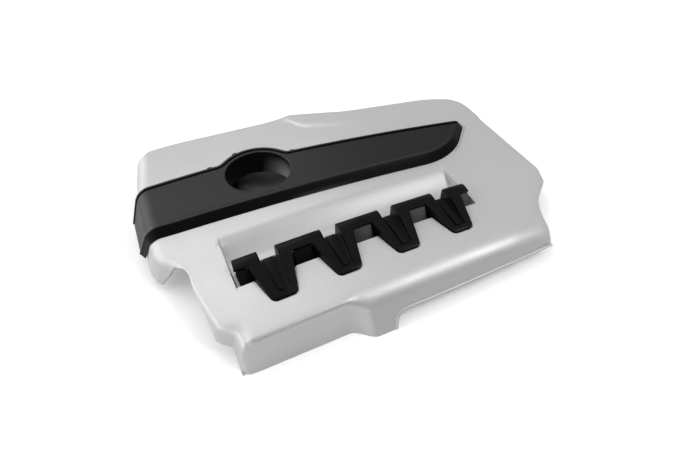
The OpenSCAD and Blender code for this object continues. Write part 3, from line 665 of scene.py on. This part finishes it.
def rounded(points, steps=8):
    """Outline with each corner (x, y, radius) rounded."""
    out = []
    n = len(points)
    for i in range(n):
        p = Vector(points[i][:2])
        r = points[i][2]
        if r <= 0:
            out.append(tuple(p))
            continue
        u = (Vector(points[i - 1][:2]) - p).normalized()
        v = (Vector(points[(i + 1) % n][:2]) - p).normalized()
        half = math.acos(max(-1, min(1, u.dot(v)))) / 2
        m = (u + v).normalized()
        c = p + m * (r / math.sin(half))
        s, e = p + u * (r / math.tan(half)) - c, p + v * (r / math.tan(half)) - c
        a0 = math.atan2(s.y, s.x)
        d = math.atan2(e.y, e.x) - a0
        d -= 2 * math.pi * round(d / (2 * math.pi))
        turns = [a0 + d * k / steps for k in range(steps + 1)]
        out += [(c.x + r * math.cos(a), c.y + r * math.sin(a)) for a in turns]
    return out


def band_front(u):
    return 4.5 - 0.045 * (u + 263)


REAR_LINE = [(-280, 116), (FILLER_X - 64, 115.5), (FILLER_X, 109), (FILLER_X + 71, 101.5), (100, 87),
             (248, 71.5)]
BULGE_R, BLEND = 63.0, 9.0


def band_rear(u):
    """Rear edge of the band, bulging round the filler opening."""
    line = along_run(REAR_LINE, u)
    if u > FILLER_X + 71:
        line = 101.5 + (71.5 - 101.5) * (u - FILLER_X - 71) / (248 - FILLER_X - 71)
    if u < ROLL_X:
        line -= 12 * ((ROLL_X - u) / (ROLL_X - END_U)) ** 1.6
    reach = BULGE_R ** 2 - (u - FILLER_X) ** 2
    bulge = FILLER_Y + math.sqrt(reach) if reach > 0 else line - 40
    h = max(BLEND - abs(line - bulge), 0) / BLEND
    return max(line, bulge) + h * h * BLEND / 4


def band_outline():
    """Closed outline, along the front to the tip and back along the rear."""
    start = END_U - 34
    front = [(start, 40, 0), (END_U - 6, 18.5, 30), (ROLL_X - 22, band_front(ROLL_X) + 2.2, 40),
             (ROLL_X + 20, band_front(ROLL_X + 20), 30),
             (TIP_X - 68, band_front(TIP_X - 68), 128), (TIP_X + 2, TIP_Y - 10, 13),
             (TIP_X + 2, band_rear(TIP_X + 2), 10), (TIP_X - 14, band_rear(TIP_X - 14), 0)]
    raw = rounded(front, 14)
    u = TIP_X - 16.0
    while u > start:
        raw.append((u, band_rear(u)))
        u -= 1.0
    raw.append((start, band_rear(start) - 6))
    pts, gone, step = [raw[0]], 0.0, 2.2
    for a, b in zip(raw, raw[1:]):
        length = math.dist(a, b)
        while gone + length >= step * len(pts):
            t = (step * len(pts) - gone) / length
            pts.append((a[0] + (b[0] - a[0]) * t, a[1] + (b[1] - a[1]) * t))
        gone += length
    return pts


outline = band_outline()
count = len(outline)


def inward(i):
    a, b = Vector(outline[i - 1]), Vector(outline[(i + 1) % count])
    d = (b - a).normalized()
    return Vector((-d.y, d.x))


tip_index = max(range(count), key=lambda i: outline[i][0] + 0.4 * outline[i][1])
FRONT_RINGS = [(0, 1), (0.25, 0.76), (0.6, 0.43), (0.9, 0.13), (0.97, 0.055), (1.04, 0.018), (1.14, 0),
               (1.3, 0.012), (1.5, 0.06), (1.7, 0.1), (1.85, 0.118), (2.0, 0.118)]
REAR_RINGS = [(0, 9), (0.15, 2.0), (0.35, 0.9), (0.8, 0.3), (1.5, 0), (4.2, 0), (4.9, 0.25), (5.2, 1.0),
              (5.4, 3.2), (7.2, 3.2), (7.5, 1.8), (8.1, FACE_DEPTH)]


def ring_place(i, k):
    """Inward distance and depth of ring k at outline point i."""
    u, y = outline[i]
    foot = skin_depth(u, y)
    f = FRONT_RINGS[k]
    front_t = f[0] * BEVEL
    if k == 0:
        front_d = foot
    elif f[0] < 0.95:
        front_d = 1.2 + (foot - 1.2) * (1 - f[0] / 0.9)
    else:
        front_d = f[1] * 11
    rear_t, rear_d = REAR_RINGS[k]
    if k == 0:
        rear_d = foot
    share = soft((i - tip_index + 3) / 8)
    if i > count - 12:
        share = 1.0
    wide = soft((u - (END_U - 32)) / 26) * 0.95 + 0.05
    return ((front_t + (rear_t - front_t) * share) * wide, front_d + (rear_d - front_d) * share)


band_verts, band_faces, flat = [], [], []
for k in range(len(FRONT_RINGS)):
    for i in range(count):
        t, d = ring_place(i, k)
        p = Vector(outline[i]) + inward(i) * t
        flat.append((p.x, p.y))
        band_verts.append(band_point(p.x, p.y, d))
for k in range(len(FRONT_RINGS) - 1):
    for i in range(count):
        m = (i + 1) % count
        band_faces.append((k * count + i, k * count + m, (k + 1) * count + m, (k + 1) * count + i))

HOLE_SIDES = 128
COLLAR_END = 34.0
hole_rings = [(FACE_EDGE_R, FACE_DEPTH), (51.0, FACE_DEPTH + 0.12), (50.4, FACE_DEPTH + 0.45),
              (50.1, FACE_DEPTH + 1.0), (FILLER_R, FACE_DEPTH + 2.0), (FILLER_R, None), (COLLAR_R, None),
              (COLLAR_R, "under")]
hole_start = len(band_verts)
for r, d in hole_rings:
    for k in range(HOLE_SIDES):
        a = 2 * math.pi * k / HOLE_SIDES
        x, y = FILLER_X + r * math.cos(a), FILLER_Y + r * math.sin(a)
        if d is None:
            band_verts.append((x, y, COLLAR_END))
        else:
            band_verts.append(band_point(x, y, skin_depth(x, y) if d == "under" else d))
for k in range(len(hole_rings) - 1):
    for n in range(HOLE_SIDES):
        m = (n + 1) % HOLE_SIDES
        a, b = hole_start + k * HOLE_SIDES, hole_start + (k + 1) * HOLE_SIDES
        band_faces.append((a + n, b + n, b + m, a + m))


def inside(p, loop):
    hit = False
    for (x0, y0), (x1, y1) in zip(loop, loop[1:] + loop[:1]):
        if (y0 > p[1]) != (y1 > p[1]) and p[0] < (x1 - x0) * (p[1] - y0) / (y1 - y0) + x0:
            hit = not hit
    return hit


def fill(loop_ids, loop, hole_ids, hole_r, depth, turned):
    """Triangles between an outer loop and the filler hole, with points of their own in between."""
    pts = [Vector(p) for p in loop]
    pts += [Vector((FILLER_X + hole_r * math.cos(2 * math.pi * k / HOLE_SIDES),
                    FILLER_Y + hole_r * math.sin(2 * math.pi * k / HOLE_SIDES))) for k in range(HOLE_SIDES)]
    n, m = len(loop), HOLE_SIDES
    edges = [(k, (k + 1) % n) for k in range(n)] + [(n + k, n + (k + 1) % m) for k in range(m)]
    ids = list(loop_ids) + list(hole_ids)
    u = min(p[0] for p in loop)
    while u < TIP_X:
        y = -14.0
        while y < 140:
            near = min(math.dist((u, y), q) for q in loop[::2])
            if near > 3.0 and inside((u, y), loop) and math.dist((u, y), (FILLER_X, FILLER_Y)) > hole_r + 2.5:
                pts.append(Vector((u, y)))
                ids.append(len(band_verts))
                band_verts.append(band_point(u, y, depth if depth is not None else skin_depth(u, y)))
            y += 7.0
        u += 2.6 if u < ROLL_X + 4 else 9.0
    out = delaunay_2d_cdt(pts, edges, [], 0, 1e-6)
    source = [o[0] if o else None for o in out[3]]
    for tri in out[2]:
        c = sum((Vector(out[0][v]) for v in tri), Vector((0, 0))) / 3
        if any(source[v] is None for v in tri) or not inside(c, loop):
            continue
        if math.dist(c, (FILLER_X, FILLER_Y)) < hole_r * 0.9995:
            continue
        face = [ids[source[v]] for v in tri]
        a, b, d = (Vector(out[0][v]) for v in tri)
        up = (b - a).cross(d - a) > 0
        band_faces.append(tuple(face if up != turned else face[::-1]))


last = (len(FRONT_RINGS) - 1) * count
fill(range(last, last + count), flat[last:last + count], range(hole_start, hole_start + HOLE_SIDES),
     FACE_EDGE_R, FACE_DEPTH, False)
under = hole_start + (len(hole_rings) - 1) * HOLE_SIDES
fill(range(count), flat[:count], range(under, under + HOLE_SIDES), COLLAR_R, None, True)
band = mesh_object("band_cover", band_verts, band_faces)
bm = bmesh.new()
bm.from_mesh(band.data)
bmesh.ops.remove_doubles(bm, verts=bm.verts, dist=2e-5)
bmesh.ops.bisect_plane(bm, geom=bm.verts[:] + bm.edges[:] + bm.faces[:], plane_co=(0, 0, BAND_END / 1000),
                       plane_no=(0, 0, -1))
low_verts = [v for v in bm.verts if v.co.z < BAND_END / 1000 - 1e-6 and v.co.x < -0.25]
bmesh.ops.delete(bm, geom=low_verts, context="VERTS")
open_edges = [e for e in bm.edges if e.is_boundary]
bmesh.ops.holes_fill(bm, edges=open_edges, sides=0)
bmesh.ops.recalc_face_normals(bm, faces=bm.faces)
# Slivers without area have no sure normal and show as dark specks
slivers = [f for f in bm.faces if f.calc_area() < 1e-8]
bmesh.ops.delete(bm, geom=slivers, context="FACES_ONLY")
bm.to_mesh(band.data)
bm.free()


def block(name, x, y, z, size, turn):
    """Small block with chamfered upper edges, turned about the upright."""
    a, b, c = size
    ct, st = math.cos(turn), math.sin(turn)
    verts = []
    for la, lb, lz in ((a, b, 0), (a, b, c * 0.6), (a - 0.5, b - 0.4, c)):
        for sx, sy in ((-1, -1), (1, -1), (1, 1), (-1, 1)):
            px, py = sx * la / 2, sy * lb / 2
            verts.append((x + px * ct - py * st, y + px * st + py * ct, z + lz))
    faces = [(3, 2, 1, 0), (8, 9, 10, 11)]
    faces += [(k + n, k + (n + 1) % 4, k + 4 + (n + 1) % 4, k + 4 + n) for k in (0, 4) for n in range(4)]
    return mesh_object(name, verts, faces)


TAB_PLACES, TAB_SIZE, TAB_SUNK = (-184, -139, -52, 34, 115), (7.0, 3.0, 3.2), 0.5

tabs = []
for x in TAB_PLACES:
    turn = math.atan2(band_rear(x + 2) - band_rear(x - 2), 4)
    y = band_rear(x) + 0.6
    tabs.append(block("clip_tab", x, y, skin_z(x, y) - TAB_SUNK, TAB_SIZE, turn))
pegs = [tube("peg", [(x, y, z - 2), (x, y, z), (x, y, skin_z(x, y) + 0.8)], PEG_R, 20)
        for x, y, z in nut_places("band_push_nut")]
join(band, tabs + pegs)
band.data.materials.append(band_black)
smooth(band, 38)
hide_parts("band_trim")
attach(band, "root")


# Narrow groove in the silver round the band's tip

nose = [i for i in range(count) if outline[i][0] > 196 and i <= tip_index + 3]
sweep = []
for i in nose:
    p, n = Vector(outline[i]), inward(i)
    for out_by, lift in ((1.8, -1.6), (3.6, -1.6), (3.6, 6.0), (1.8, 6.0)):
        q = p - n * out_by
        z = skin_z(q.x, q.y) + lift
        sweep.append((q.x, q.y, z))
groove_faces = [(0, 1, 2, 3), tuple(4 * (len(nose) - 1) + k for k in (3, 2, 1, 0))]
for k in range(len(nose) - 1):
    at = 4 * k
    groove_faces += [(at + a, at + 4 + a, at + 4 + (a + 1) % 4, at + (a + 1) % 4) for a in range(4)]
cut(skin, [face_out(mesh_object("nose_groove", sweep, groove_faces))])


# Bead, ribs and cups of the moulding


def skirt_y(x, z):
    return FOLD_RIGHT - (top_at(FOLD_RIGHT) - z - crown_drop(x)) * tan(LEAN_RIGHT)


bead_path = [(-45, 0.2), (-43.5, 5), (-41.4, 10), (-38.6, 13.6), (-34.8, 16.6), (-30, 18.5), (-24, 19)]
bead_path += [(-24 + (222 + 24) * k / 24, 19) for k in range(1, 25)]
extras = [tube("bead", [(x, skirt_y(x, z) + 0.3, z) for x, z in bead_path], 2.0)]


RIB_DEPTH = 9


def plate(name, x0, x1, y0, y1, low_by, along_x=True):
    """Thin rib under the top, low_by below the inner skin."""
    top, bottom = [], []
    for k in range(13):
        x, y = x0 + (x1 - x0) * k / 12, y0 + (y1 - y0) * k / 12
        z = skin_z(x, y) - WALL
        top.append((x, y, z + 0.8))
        bottom.append((x, y, z - low_by))
    off = (0, 1) if along_x else (1, 0)
    verts = [(p[0] + s * off[0], p[1] + s * off[1], p[2]) for s in (-1, 1) for p in top + bottom]
    n, h = 13, 26
    faces = []
    for k in range(n - 1):
        faces += [(k, k + 1, n + k + 1, n + k), (h + k, h + n + k, h + n + k + 1, h + k + 1),
                  (k, h + k, h + k + 1, k + 1), (n + k, n + k + 1, h + n + k + 1, h + n + k)]
    faces += [(0, n, h + n, h), (n - 1, h + n - 1, h + 2 * n - 1, 2 * n - 1)]
    obj = mesh_object(name, verts, faces)
    obj["slot_index"] = 1
    return obj


extras += [plate("rib_rear", -222, 220, 132, 132, RIB_DEPTH),
           plate("rib_middle", -244, 250, -26, -26, RIB_DEPTH),
           plate("rib_right", 222, 222, -108, 110, RIB_DEPTH, False),
           plate("rib_left", -222, -222, -108, -38, RIB_DEPTH, False)]
for x, y in STUDS:
    z = skin_z(x, y) - WALL + 0.6
    cup = ring("cup", x, y, [(14.3, 4.3), (14.3, 23.3), (13.3, 24.3), (7.4, 24.6), (7.4, z), (0.01, z),
                             (0.01, 20.3), (11.3, 20.3), (11.3, 4.3)])
    cup["slot_index"] = 1
    extras.append(cup)
    for a in (0, 1):
        wide = [(-14, 22), (14, 22), (17.3, z - 1.5), (-17.3, z - 1.5)]
        if a == 0:
            fin = prism("fin", [(x + p, h) for p, h in wide], y - 1, y + 1, "y")
        else:
            fin = prism("fin", [(y + p, h) for p, h in wide], x - 1, x + 1, "x")
        fin["slot_index"] = 1
        extras.append(fin)
join(skin, extras)
# All faces at the front left corner are silver, the inner ones too
for face in skin.data.polygons:
    c = face.center
    if c.x < -0.222 and c.y < -0.188 and c.z < 0.014:
        face.material_index = 0
# The flat underside there meets a stray face, so it becomes a sheet of its own a little lower
RIM_CORNER, RIM_SHEET = Vector((-0.237, -0.203, 0)), -0.00015
bm = bmesh.new()
bm.from_mesh(skin.data)
rim = [f for f in bm.faces if max(v.co.z for v in f.verts) < 0.0004
       and min((v.co - RIM_CORNER).length for v in f.verts) < 0.004]
for face in rim:
    bm.faces.new([bm.verts.new((v.co.x, v.co.y, RIM_SHEET)) for v in face.verts])
bmesh.ops.delete(bm, geom=rim, context="FACES_ONLY")
bm.to_mesh(skin.data)
bm.free()
smooth(skin, 40)
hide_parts("cover_shell")
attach(skin, "root")


# Runner trim, built straight and then laid over the crown


def wedge(name, x, rows):
    """Solid over rows of place, half width, low and high."""
    verts, faces = [], []
    for y, w, low, high in rows:
        verts += [(x - w, y, low), (x + w, y, low), (x + w, y, high), (x - w, y, high)]
    for k in range(len(rows) - 1):
        faces += [(4 * k + a, 4 * k + (a + 1) % 4, 4 * k + 4 + (a + 1) % 4, 4 * k + 4 + a) for a in range(4)]
    e = 4 * (len(rows) - 1)
    faces += [(3, 2, 1, 0), (e, e + 1, e + 2, e + 3)]
    return face_out(mesh_object(name, verts, faces))


TRIM_TOP = [(-158, 51.9), (-157.4, 52.6), (-156.4, 53.2), (-154.5, 53.8), (-151, 54.6), (-104, 68.3),
            (-101, 69.3), (-98, 70.1), (-95, 70.7), (-92, 71), (-89.5, 70.8), (-87, 70), (-85, 68.8),
            (-83.4, 67), (-82.4, 64.6), (-82, 62)]
RECESS_FLOOR = [(-150, 52.2), (-104, 60.2), (-97, 61.2), (-96.4, 60.6), (-88, 52.0), (-82, 47.2), (-79, 46.0)]
RUNNER_LOW, BAR_THICK, TRIM_BEVEL = 46.6, 3.0, 0.55


def straight(run, y):
    """Straight lines through the pairs of a run, level after its end."""
    for (y0, z0), (y1, z1) in zip(run, run[1:]):
        if y <= y1:
            return z0 + (z1 - z0) * (y - y0) / (y1 - y0)
    return run[-1][1]


def trim_top(y):
    return straight(TRIM_TOP, y)


def finger_half(y):
    w = FINGER_ROOT - (FINGER_ROOT - FINGER_TIP) * max(0.0, -103 - y) / 55
    if y < FINGER_END + FINGER_ROUND:
        w -= 6.5 * (1 - math.sqrt(max(0.0, 1 - ((FINGER_END + FINGER_ROUND - y) / FINGER_ROUND) ** 2)))
    return w


def finger_low(y):
    return 46.4 if y > -115 else top_at(y) - 1.8


def recess_floor(y):
    return straight(RECESS_FLOOR, y)


pieces_of_trim = []
for x in FINGERS:
    ys = sorted({-158, -157.8, -157.4, -156.4, -155, -153, -151, -140, -130, -120, -115.1, -115, -110,
                 *(p[0] for p in TRIM_TOP)})
    finger = wedge("finger", x, [(y, finger_half(y), finger_low(y), trim_top(y)) for y in ys])
    span_y = [-149.6, -149.2, -148.4, -147, -135, -120, -104, -101, -97, -96.4, -92, -88, -84, -80]
    recess = []
    for y in span_y:
        half = 8.4 + 4.2 * (y + 150) / 46 if y < -104 else 12.6
        half -= {-149.6: 2.2, -149.2: 1.1, -148.4: 0.4}.get(y, 0)
        recess.append((y, half, recess_floor(y), 95))
    cut(finger, [wedge("recess", x, recess)])
    panel = [(y, 2.8 + 3.8 * min(1, (y + 147) / 42), recess_floor(y) - 1.5, recess_floor(y) + 2.4)
             for y in (-147, -135, -120, -104, -101, -97)]
    cut(finger, [wedge("panel", x - 1.6, panel)], "UNION")
    pieces_of_trim.append(finger)

bar_rows = [p for p in TRIM_TOP if p[0] >= -104]
bar = []
for y, z in [(-103, trim_top(-103))] + bar_rows[1:]:
    if y == -85:
        bar.append((-85.6, trim_top(-85.6) - BAR_THICK, trim_top(-85.6)))
        bar.append((-85.5, RUNNER_LOW, trim_top(-85.5)))
    bar.append((y, z - BAR_THICK if y < -86 else RUNNER_LOW, z))
mids = [((a + b) / 2, (b - a) / 2 - FINGER_ROOT + 4) for a, b in zip(FINGERS, FINGERS[1:])]
mids += [(FINGERS[0] - 36, 9.5), (FINGERS[-1] + 36, 9.5)]
for x, half in mids:
    pieces_of_trim.append(wedge("bar", x, [(y, half, lo, hi) for y, lo, hi in bar]))
trim = pieces_of_trim[0]
trim.name = "runner_cover"
cut(trim, pieces_of_trim[1:], "UNION")
for v in trim.data.vertices:
    v.co.z -= crown_drop(v.co.x * 1000) / 1000
trim.data.materials.clear()
trim.data.materials.append(runner_black)


def bevelled(obj, width, angle=28, segments=2):
    mod = obj.modifiers.new("edges", "BEVEL")
    mod.width = width / 1000
    mod.segments = segments
    mod.limit_method = "ANGLE"
    mod.angle_limit = math.radians(angle)
    mod.use_clamp_overlap = True
    settled(obj)


bm = bmesh.new()
bm.from_mesh(trim.data)
bmesh.ops.remove_doubles(bm, verts=bm.verts, dist=2e-5)
bmesh.ops.dissolve_limit(bm, angle_limit=math.radians(1), verts=bm.verts, edges=bm.edges)
bm.to_mesh(trim.data)
bm.free()
bevelled(trim, TRIM_BEVEL)
join(trim, [tube("peg", [(x, y, z - 2), (x, y, z), (x, y, 49 - crown_drop(x))], PEG_R, 20)
            for x, y, z in nut_places("runner_push_nut")])
smooth(trim, 40)
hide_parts("runner_trim")
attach(trim, "root")


# Foam pads under the rear of the top


PAD_FRONT, PAD_THICK = 138, 8.6


def foam_pad(name, node, x0, x1, rear_limit):
    """Soft pad with thin edges and a slight wave, just below the inner skin."""
    nx, ny, y0, thick = 46, 20, PAD_FRONT, PAD_THICK
    verts, faces = [], []
    for layer in (0, 1):
        for j in range(ny + 1):
            for i in range(nx + 1):
                a, b = 2 * i / nx - 1, 2 * j / ny - 1
                fall = 1 - (max(0.0, 1 - abs(a) ** 14) * max(0.0, 1 - abs(b) ** 8)) ** 0.4
                x = x0 + (x1 - x0) * i / nx
                y = y0 + (min(rear_limit, rear_at(x) - 24) - y0) * j / ny
                z = min(skin_z(x, y), REAR_LEVEL - crown_drop(x)) - WALL - 0.5
                wave = 0.35 * math.sin(x * 0.21 + 0.6 * math.sin(y * 0.11)) * math.sin(y * 0.24 + 1.1)
                sag = thick * (1 - fall) + wave * (1 - fall)
                verts.append((x, y, z - 0.5 * thick - (sag / 2 if layer else -0.5 * thick * (1 - fall))))
    row, size = nx + 1, (nx + 1) * (ny + 1)
    for j in range(ny):
        for i in range(nx):
            k = j * row + i
            faces += [(k, k + 1, k + row + 1, k + row),
                      (size + k, size + k + row, size + k + row + 1, size + k + 1)]
    pad = mesh_object(name, verts, faces)
    bm = bmesh.new()
    bm.from_mesh(pad.data)
    bmesh.ops.remove_doubles(bm, verts=bm.verts, dist=1e-5)
    bmesh.ops.recalc_face_normals(bm, faces=bm.faces)
    bm.to_mesh(pad.data)
    bm.free()
    pad.data.materials.append(foam)
    smooth(pad, 80)
    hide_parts(node)
    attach(pad, "root")


foam_pad("pad_rear", "sound_pad_rear", -226, -28, 204.0)
foam_pad("pad_right", "sound_pad_right", -12, 150, 180.0)


# Floor and backdrop

FLOOR_GLOW, FLOOR_BOUNCE = 0.29, 0.82
# Place and size of the painted shade patch on the floor under the filler opening
SHADE_PATCH_CENTER, SHADE_PATCH_IN, SHADE_PATCH_OUT = (FILLER_X / 1000, FILLER_Y / 1000 + 0.03, 0), 0.085, 0.115


def floor_material():
    """Pale floor with painted shade under the filler opening: a dark patch with painted light that turns it
    grey towards its right.
    """
    mat = bpy.data.materials.new("pale_floor")
    mat.use_nodes = True
    tree = mat.node_tree
    bsdf = tree.nodes["Principled BSDF"]
    bsdf.inputs["Roughness"].default_value = 0.9
    bsdf.inputs["Specular IOR Level"].default_value = 0.0
    bsdf.inputs["Emission Color"].default_value = (1, 1, 1, 1)
    co = object_coords(tree)
    # Painted shade: inside the patch the floor is dark and gives no glow; painted light across it runs from
    # near black at the left to grey at the right.
    away = compared(tree, "DISTANCE", co, SHADE_PATCH_CENTER)
    lit = ramp(tree, away, SHADE_PATCH_IN, SHADE_PATCH_OUT, 0.0, 1.0)
    painted_light_across = ramp(tree, parts_of(tree, co)["X"], -0.145, -0.080, 0.0, 1.0)
    patch = mix_color(tree, lit, gray(0), gray(FLOOR_BOUNCE))
    tree.links.new(mix_color(tree, painted_light_across, gray(0.01), gray(0.55)), patch.node.inputs[6])
    tree.links.new(patch, bsdf.inputs["Base Color"])
    tree.links.new(ramp(tree, away, SHADE_PATCH_IN, SHADE_PATCH_OUT, 0.0, FLOOR_GLOW), bsdf.inputs["Emission Strength"])
    dark = tree.nodes.new("ShaderNodeBsdfDiffuse")
    dark.inputs["Color"].default_value = (*gray(FLOOR_BOUNCE), 1)
    path = tree.nodes.new("ShaderNodeLightPath")
    mix = tree.nodes.new("ShaderNodeMixShader")
    tree.links.new(path.outputs["Is Camera Ray"], mix.inputs[0])
    tree.links.new(dark.outputs[0], mix.inputs[1])
    tree.links.new(bsdf.outputs[0], mix.inputs[2])
    tree.links.new(mix.outputs[0], tree.nodes["Material Output"].inputs["Surface"])
    return mat


bpy.ops.mesh.primitive_plane_add(size=12, location=(0, 0, -0.0005))
floor = bpy.context.object
floor.name = "floor"
assign(floor, floor_material())

world = bpy.data.worlds.new("studio")
scene.world = world
world.use_nodes = True
wt = world.node_tree
bg = wt.nodes["Background"]
bg.inputs["Color"].default_value = (1, 1, 1, 1)
facing = wt.nodes.new("ShaderNodeTexCoord").outputs["Generated"]


def lobe(direction, low, high, a, b):
    """Value over the angle to a direction of the studio."""
    dot = compared(wt, "DOT_PRODUCT", facing, Vector(direction).normalized())
    return ramp(wt, dot, low, high, a, b, "SMOOTHSTEP")


camera_side = lobe((0.10, -0.76, 0.50), 0.50, 0.86, 1.0, 0.10)
left_wall = lobe((-0.85, 0.40, 0.12), 0.45, 0.93, 0.50, 2.50)
path = wt.nodes.new("ShaderNodeLightPath").outputs["Is Camera Ray"]
walls = combined(wt, "MULTIPLY", camera_side, left_wall)
wt.links.new(combined(wt, "MAXIMUM", walls, path), bg.inputs["Strength"])


def area(name, loc, target, size, power, size_y):
    """Lamp of a given size that looks at target."""
    data = bpy.data.lights.new(name, "AREA")
    data.energy = power
    data.shape = "RECTANGLE"
    data.size = size
    data.size_y = size_y
    obj = bpy.data.objects.new(name, data)
    scene.collection.objects.link(obj)
    obj.location = loc
    d = [t - l for t, l in zip(target, loc)]
    yaw = math.atan2(d[0], -d[1])
    pitch = math.atan2(math.hypot(d[0], d[1]), -d[2])
    obj.rotation_euler = (pitch, 0, yaw + math.pi)


area("rear_softbox", (-0.3, 1.7, 2.5), (0, 0, 0.05), 2.2, 20, 1.2)
area("top_softbox", (0.3, -0.4, 1.9), (0.05, -0.05, 0.05), 1.0, 3, 0.7)
area("right_softbox", (1.15, -1.0, 1.75), (0.1, -0.15, 0.05), 0.8, 20, 0.7)
area("front_strip", (-1.5, -2.1, 0.55), (-0.1, -0.1, 0.05), 1.2, 8, 0.5)


# Camera, solved from the photograph

FOCAL_PIXELS, PHOTO_WIDTH, SENSOR = 454.84, 700, 36
CAMERA_PLACE, CAMERA_DOWN, CAMERA_TURN = (-0.2463, -0.5026, 0.4858), 43.615, -26.333

cam_data = bpy.data.cameras.new("camera")
cam_data.sensor_fit = "HORIZONTAL"
cam_data.sensor_width = SENSOR
cam_data.lens = FOCAL_PIXELS / PHOTO_WIDTH * SENSOR
cam_data.clip_start = 0.01
cam = bpy.data.objects.new("camera", cam_data)
scene.collection.objects.link(cam)
cam.location = CAMERA_PLACE
cam.rotation_euler = (math.radians(90 - CAMERA_DOWN), 0, math.radians(CAMERA_TURN))
scene.camera = cam

scene.view_settings.view_transform = "Standard"
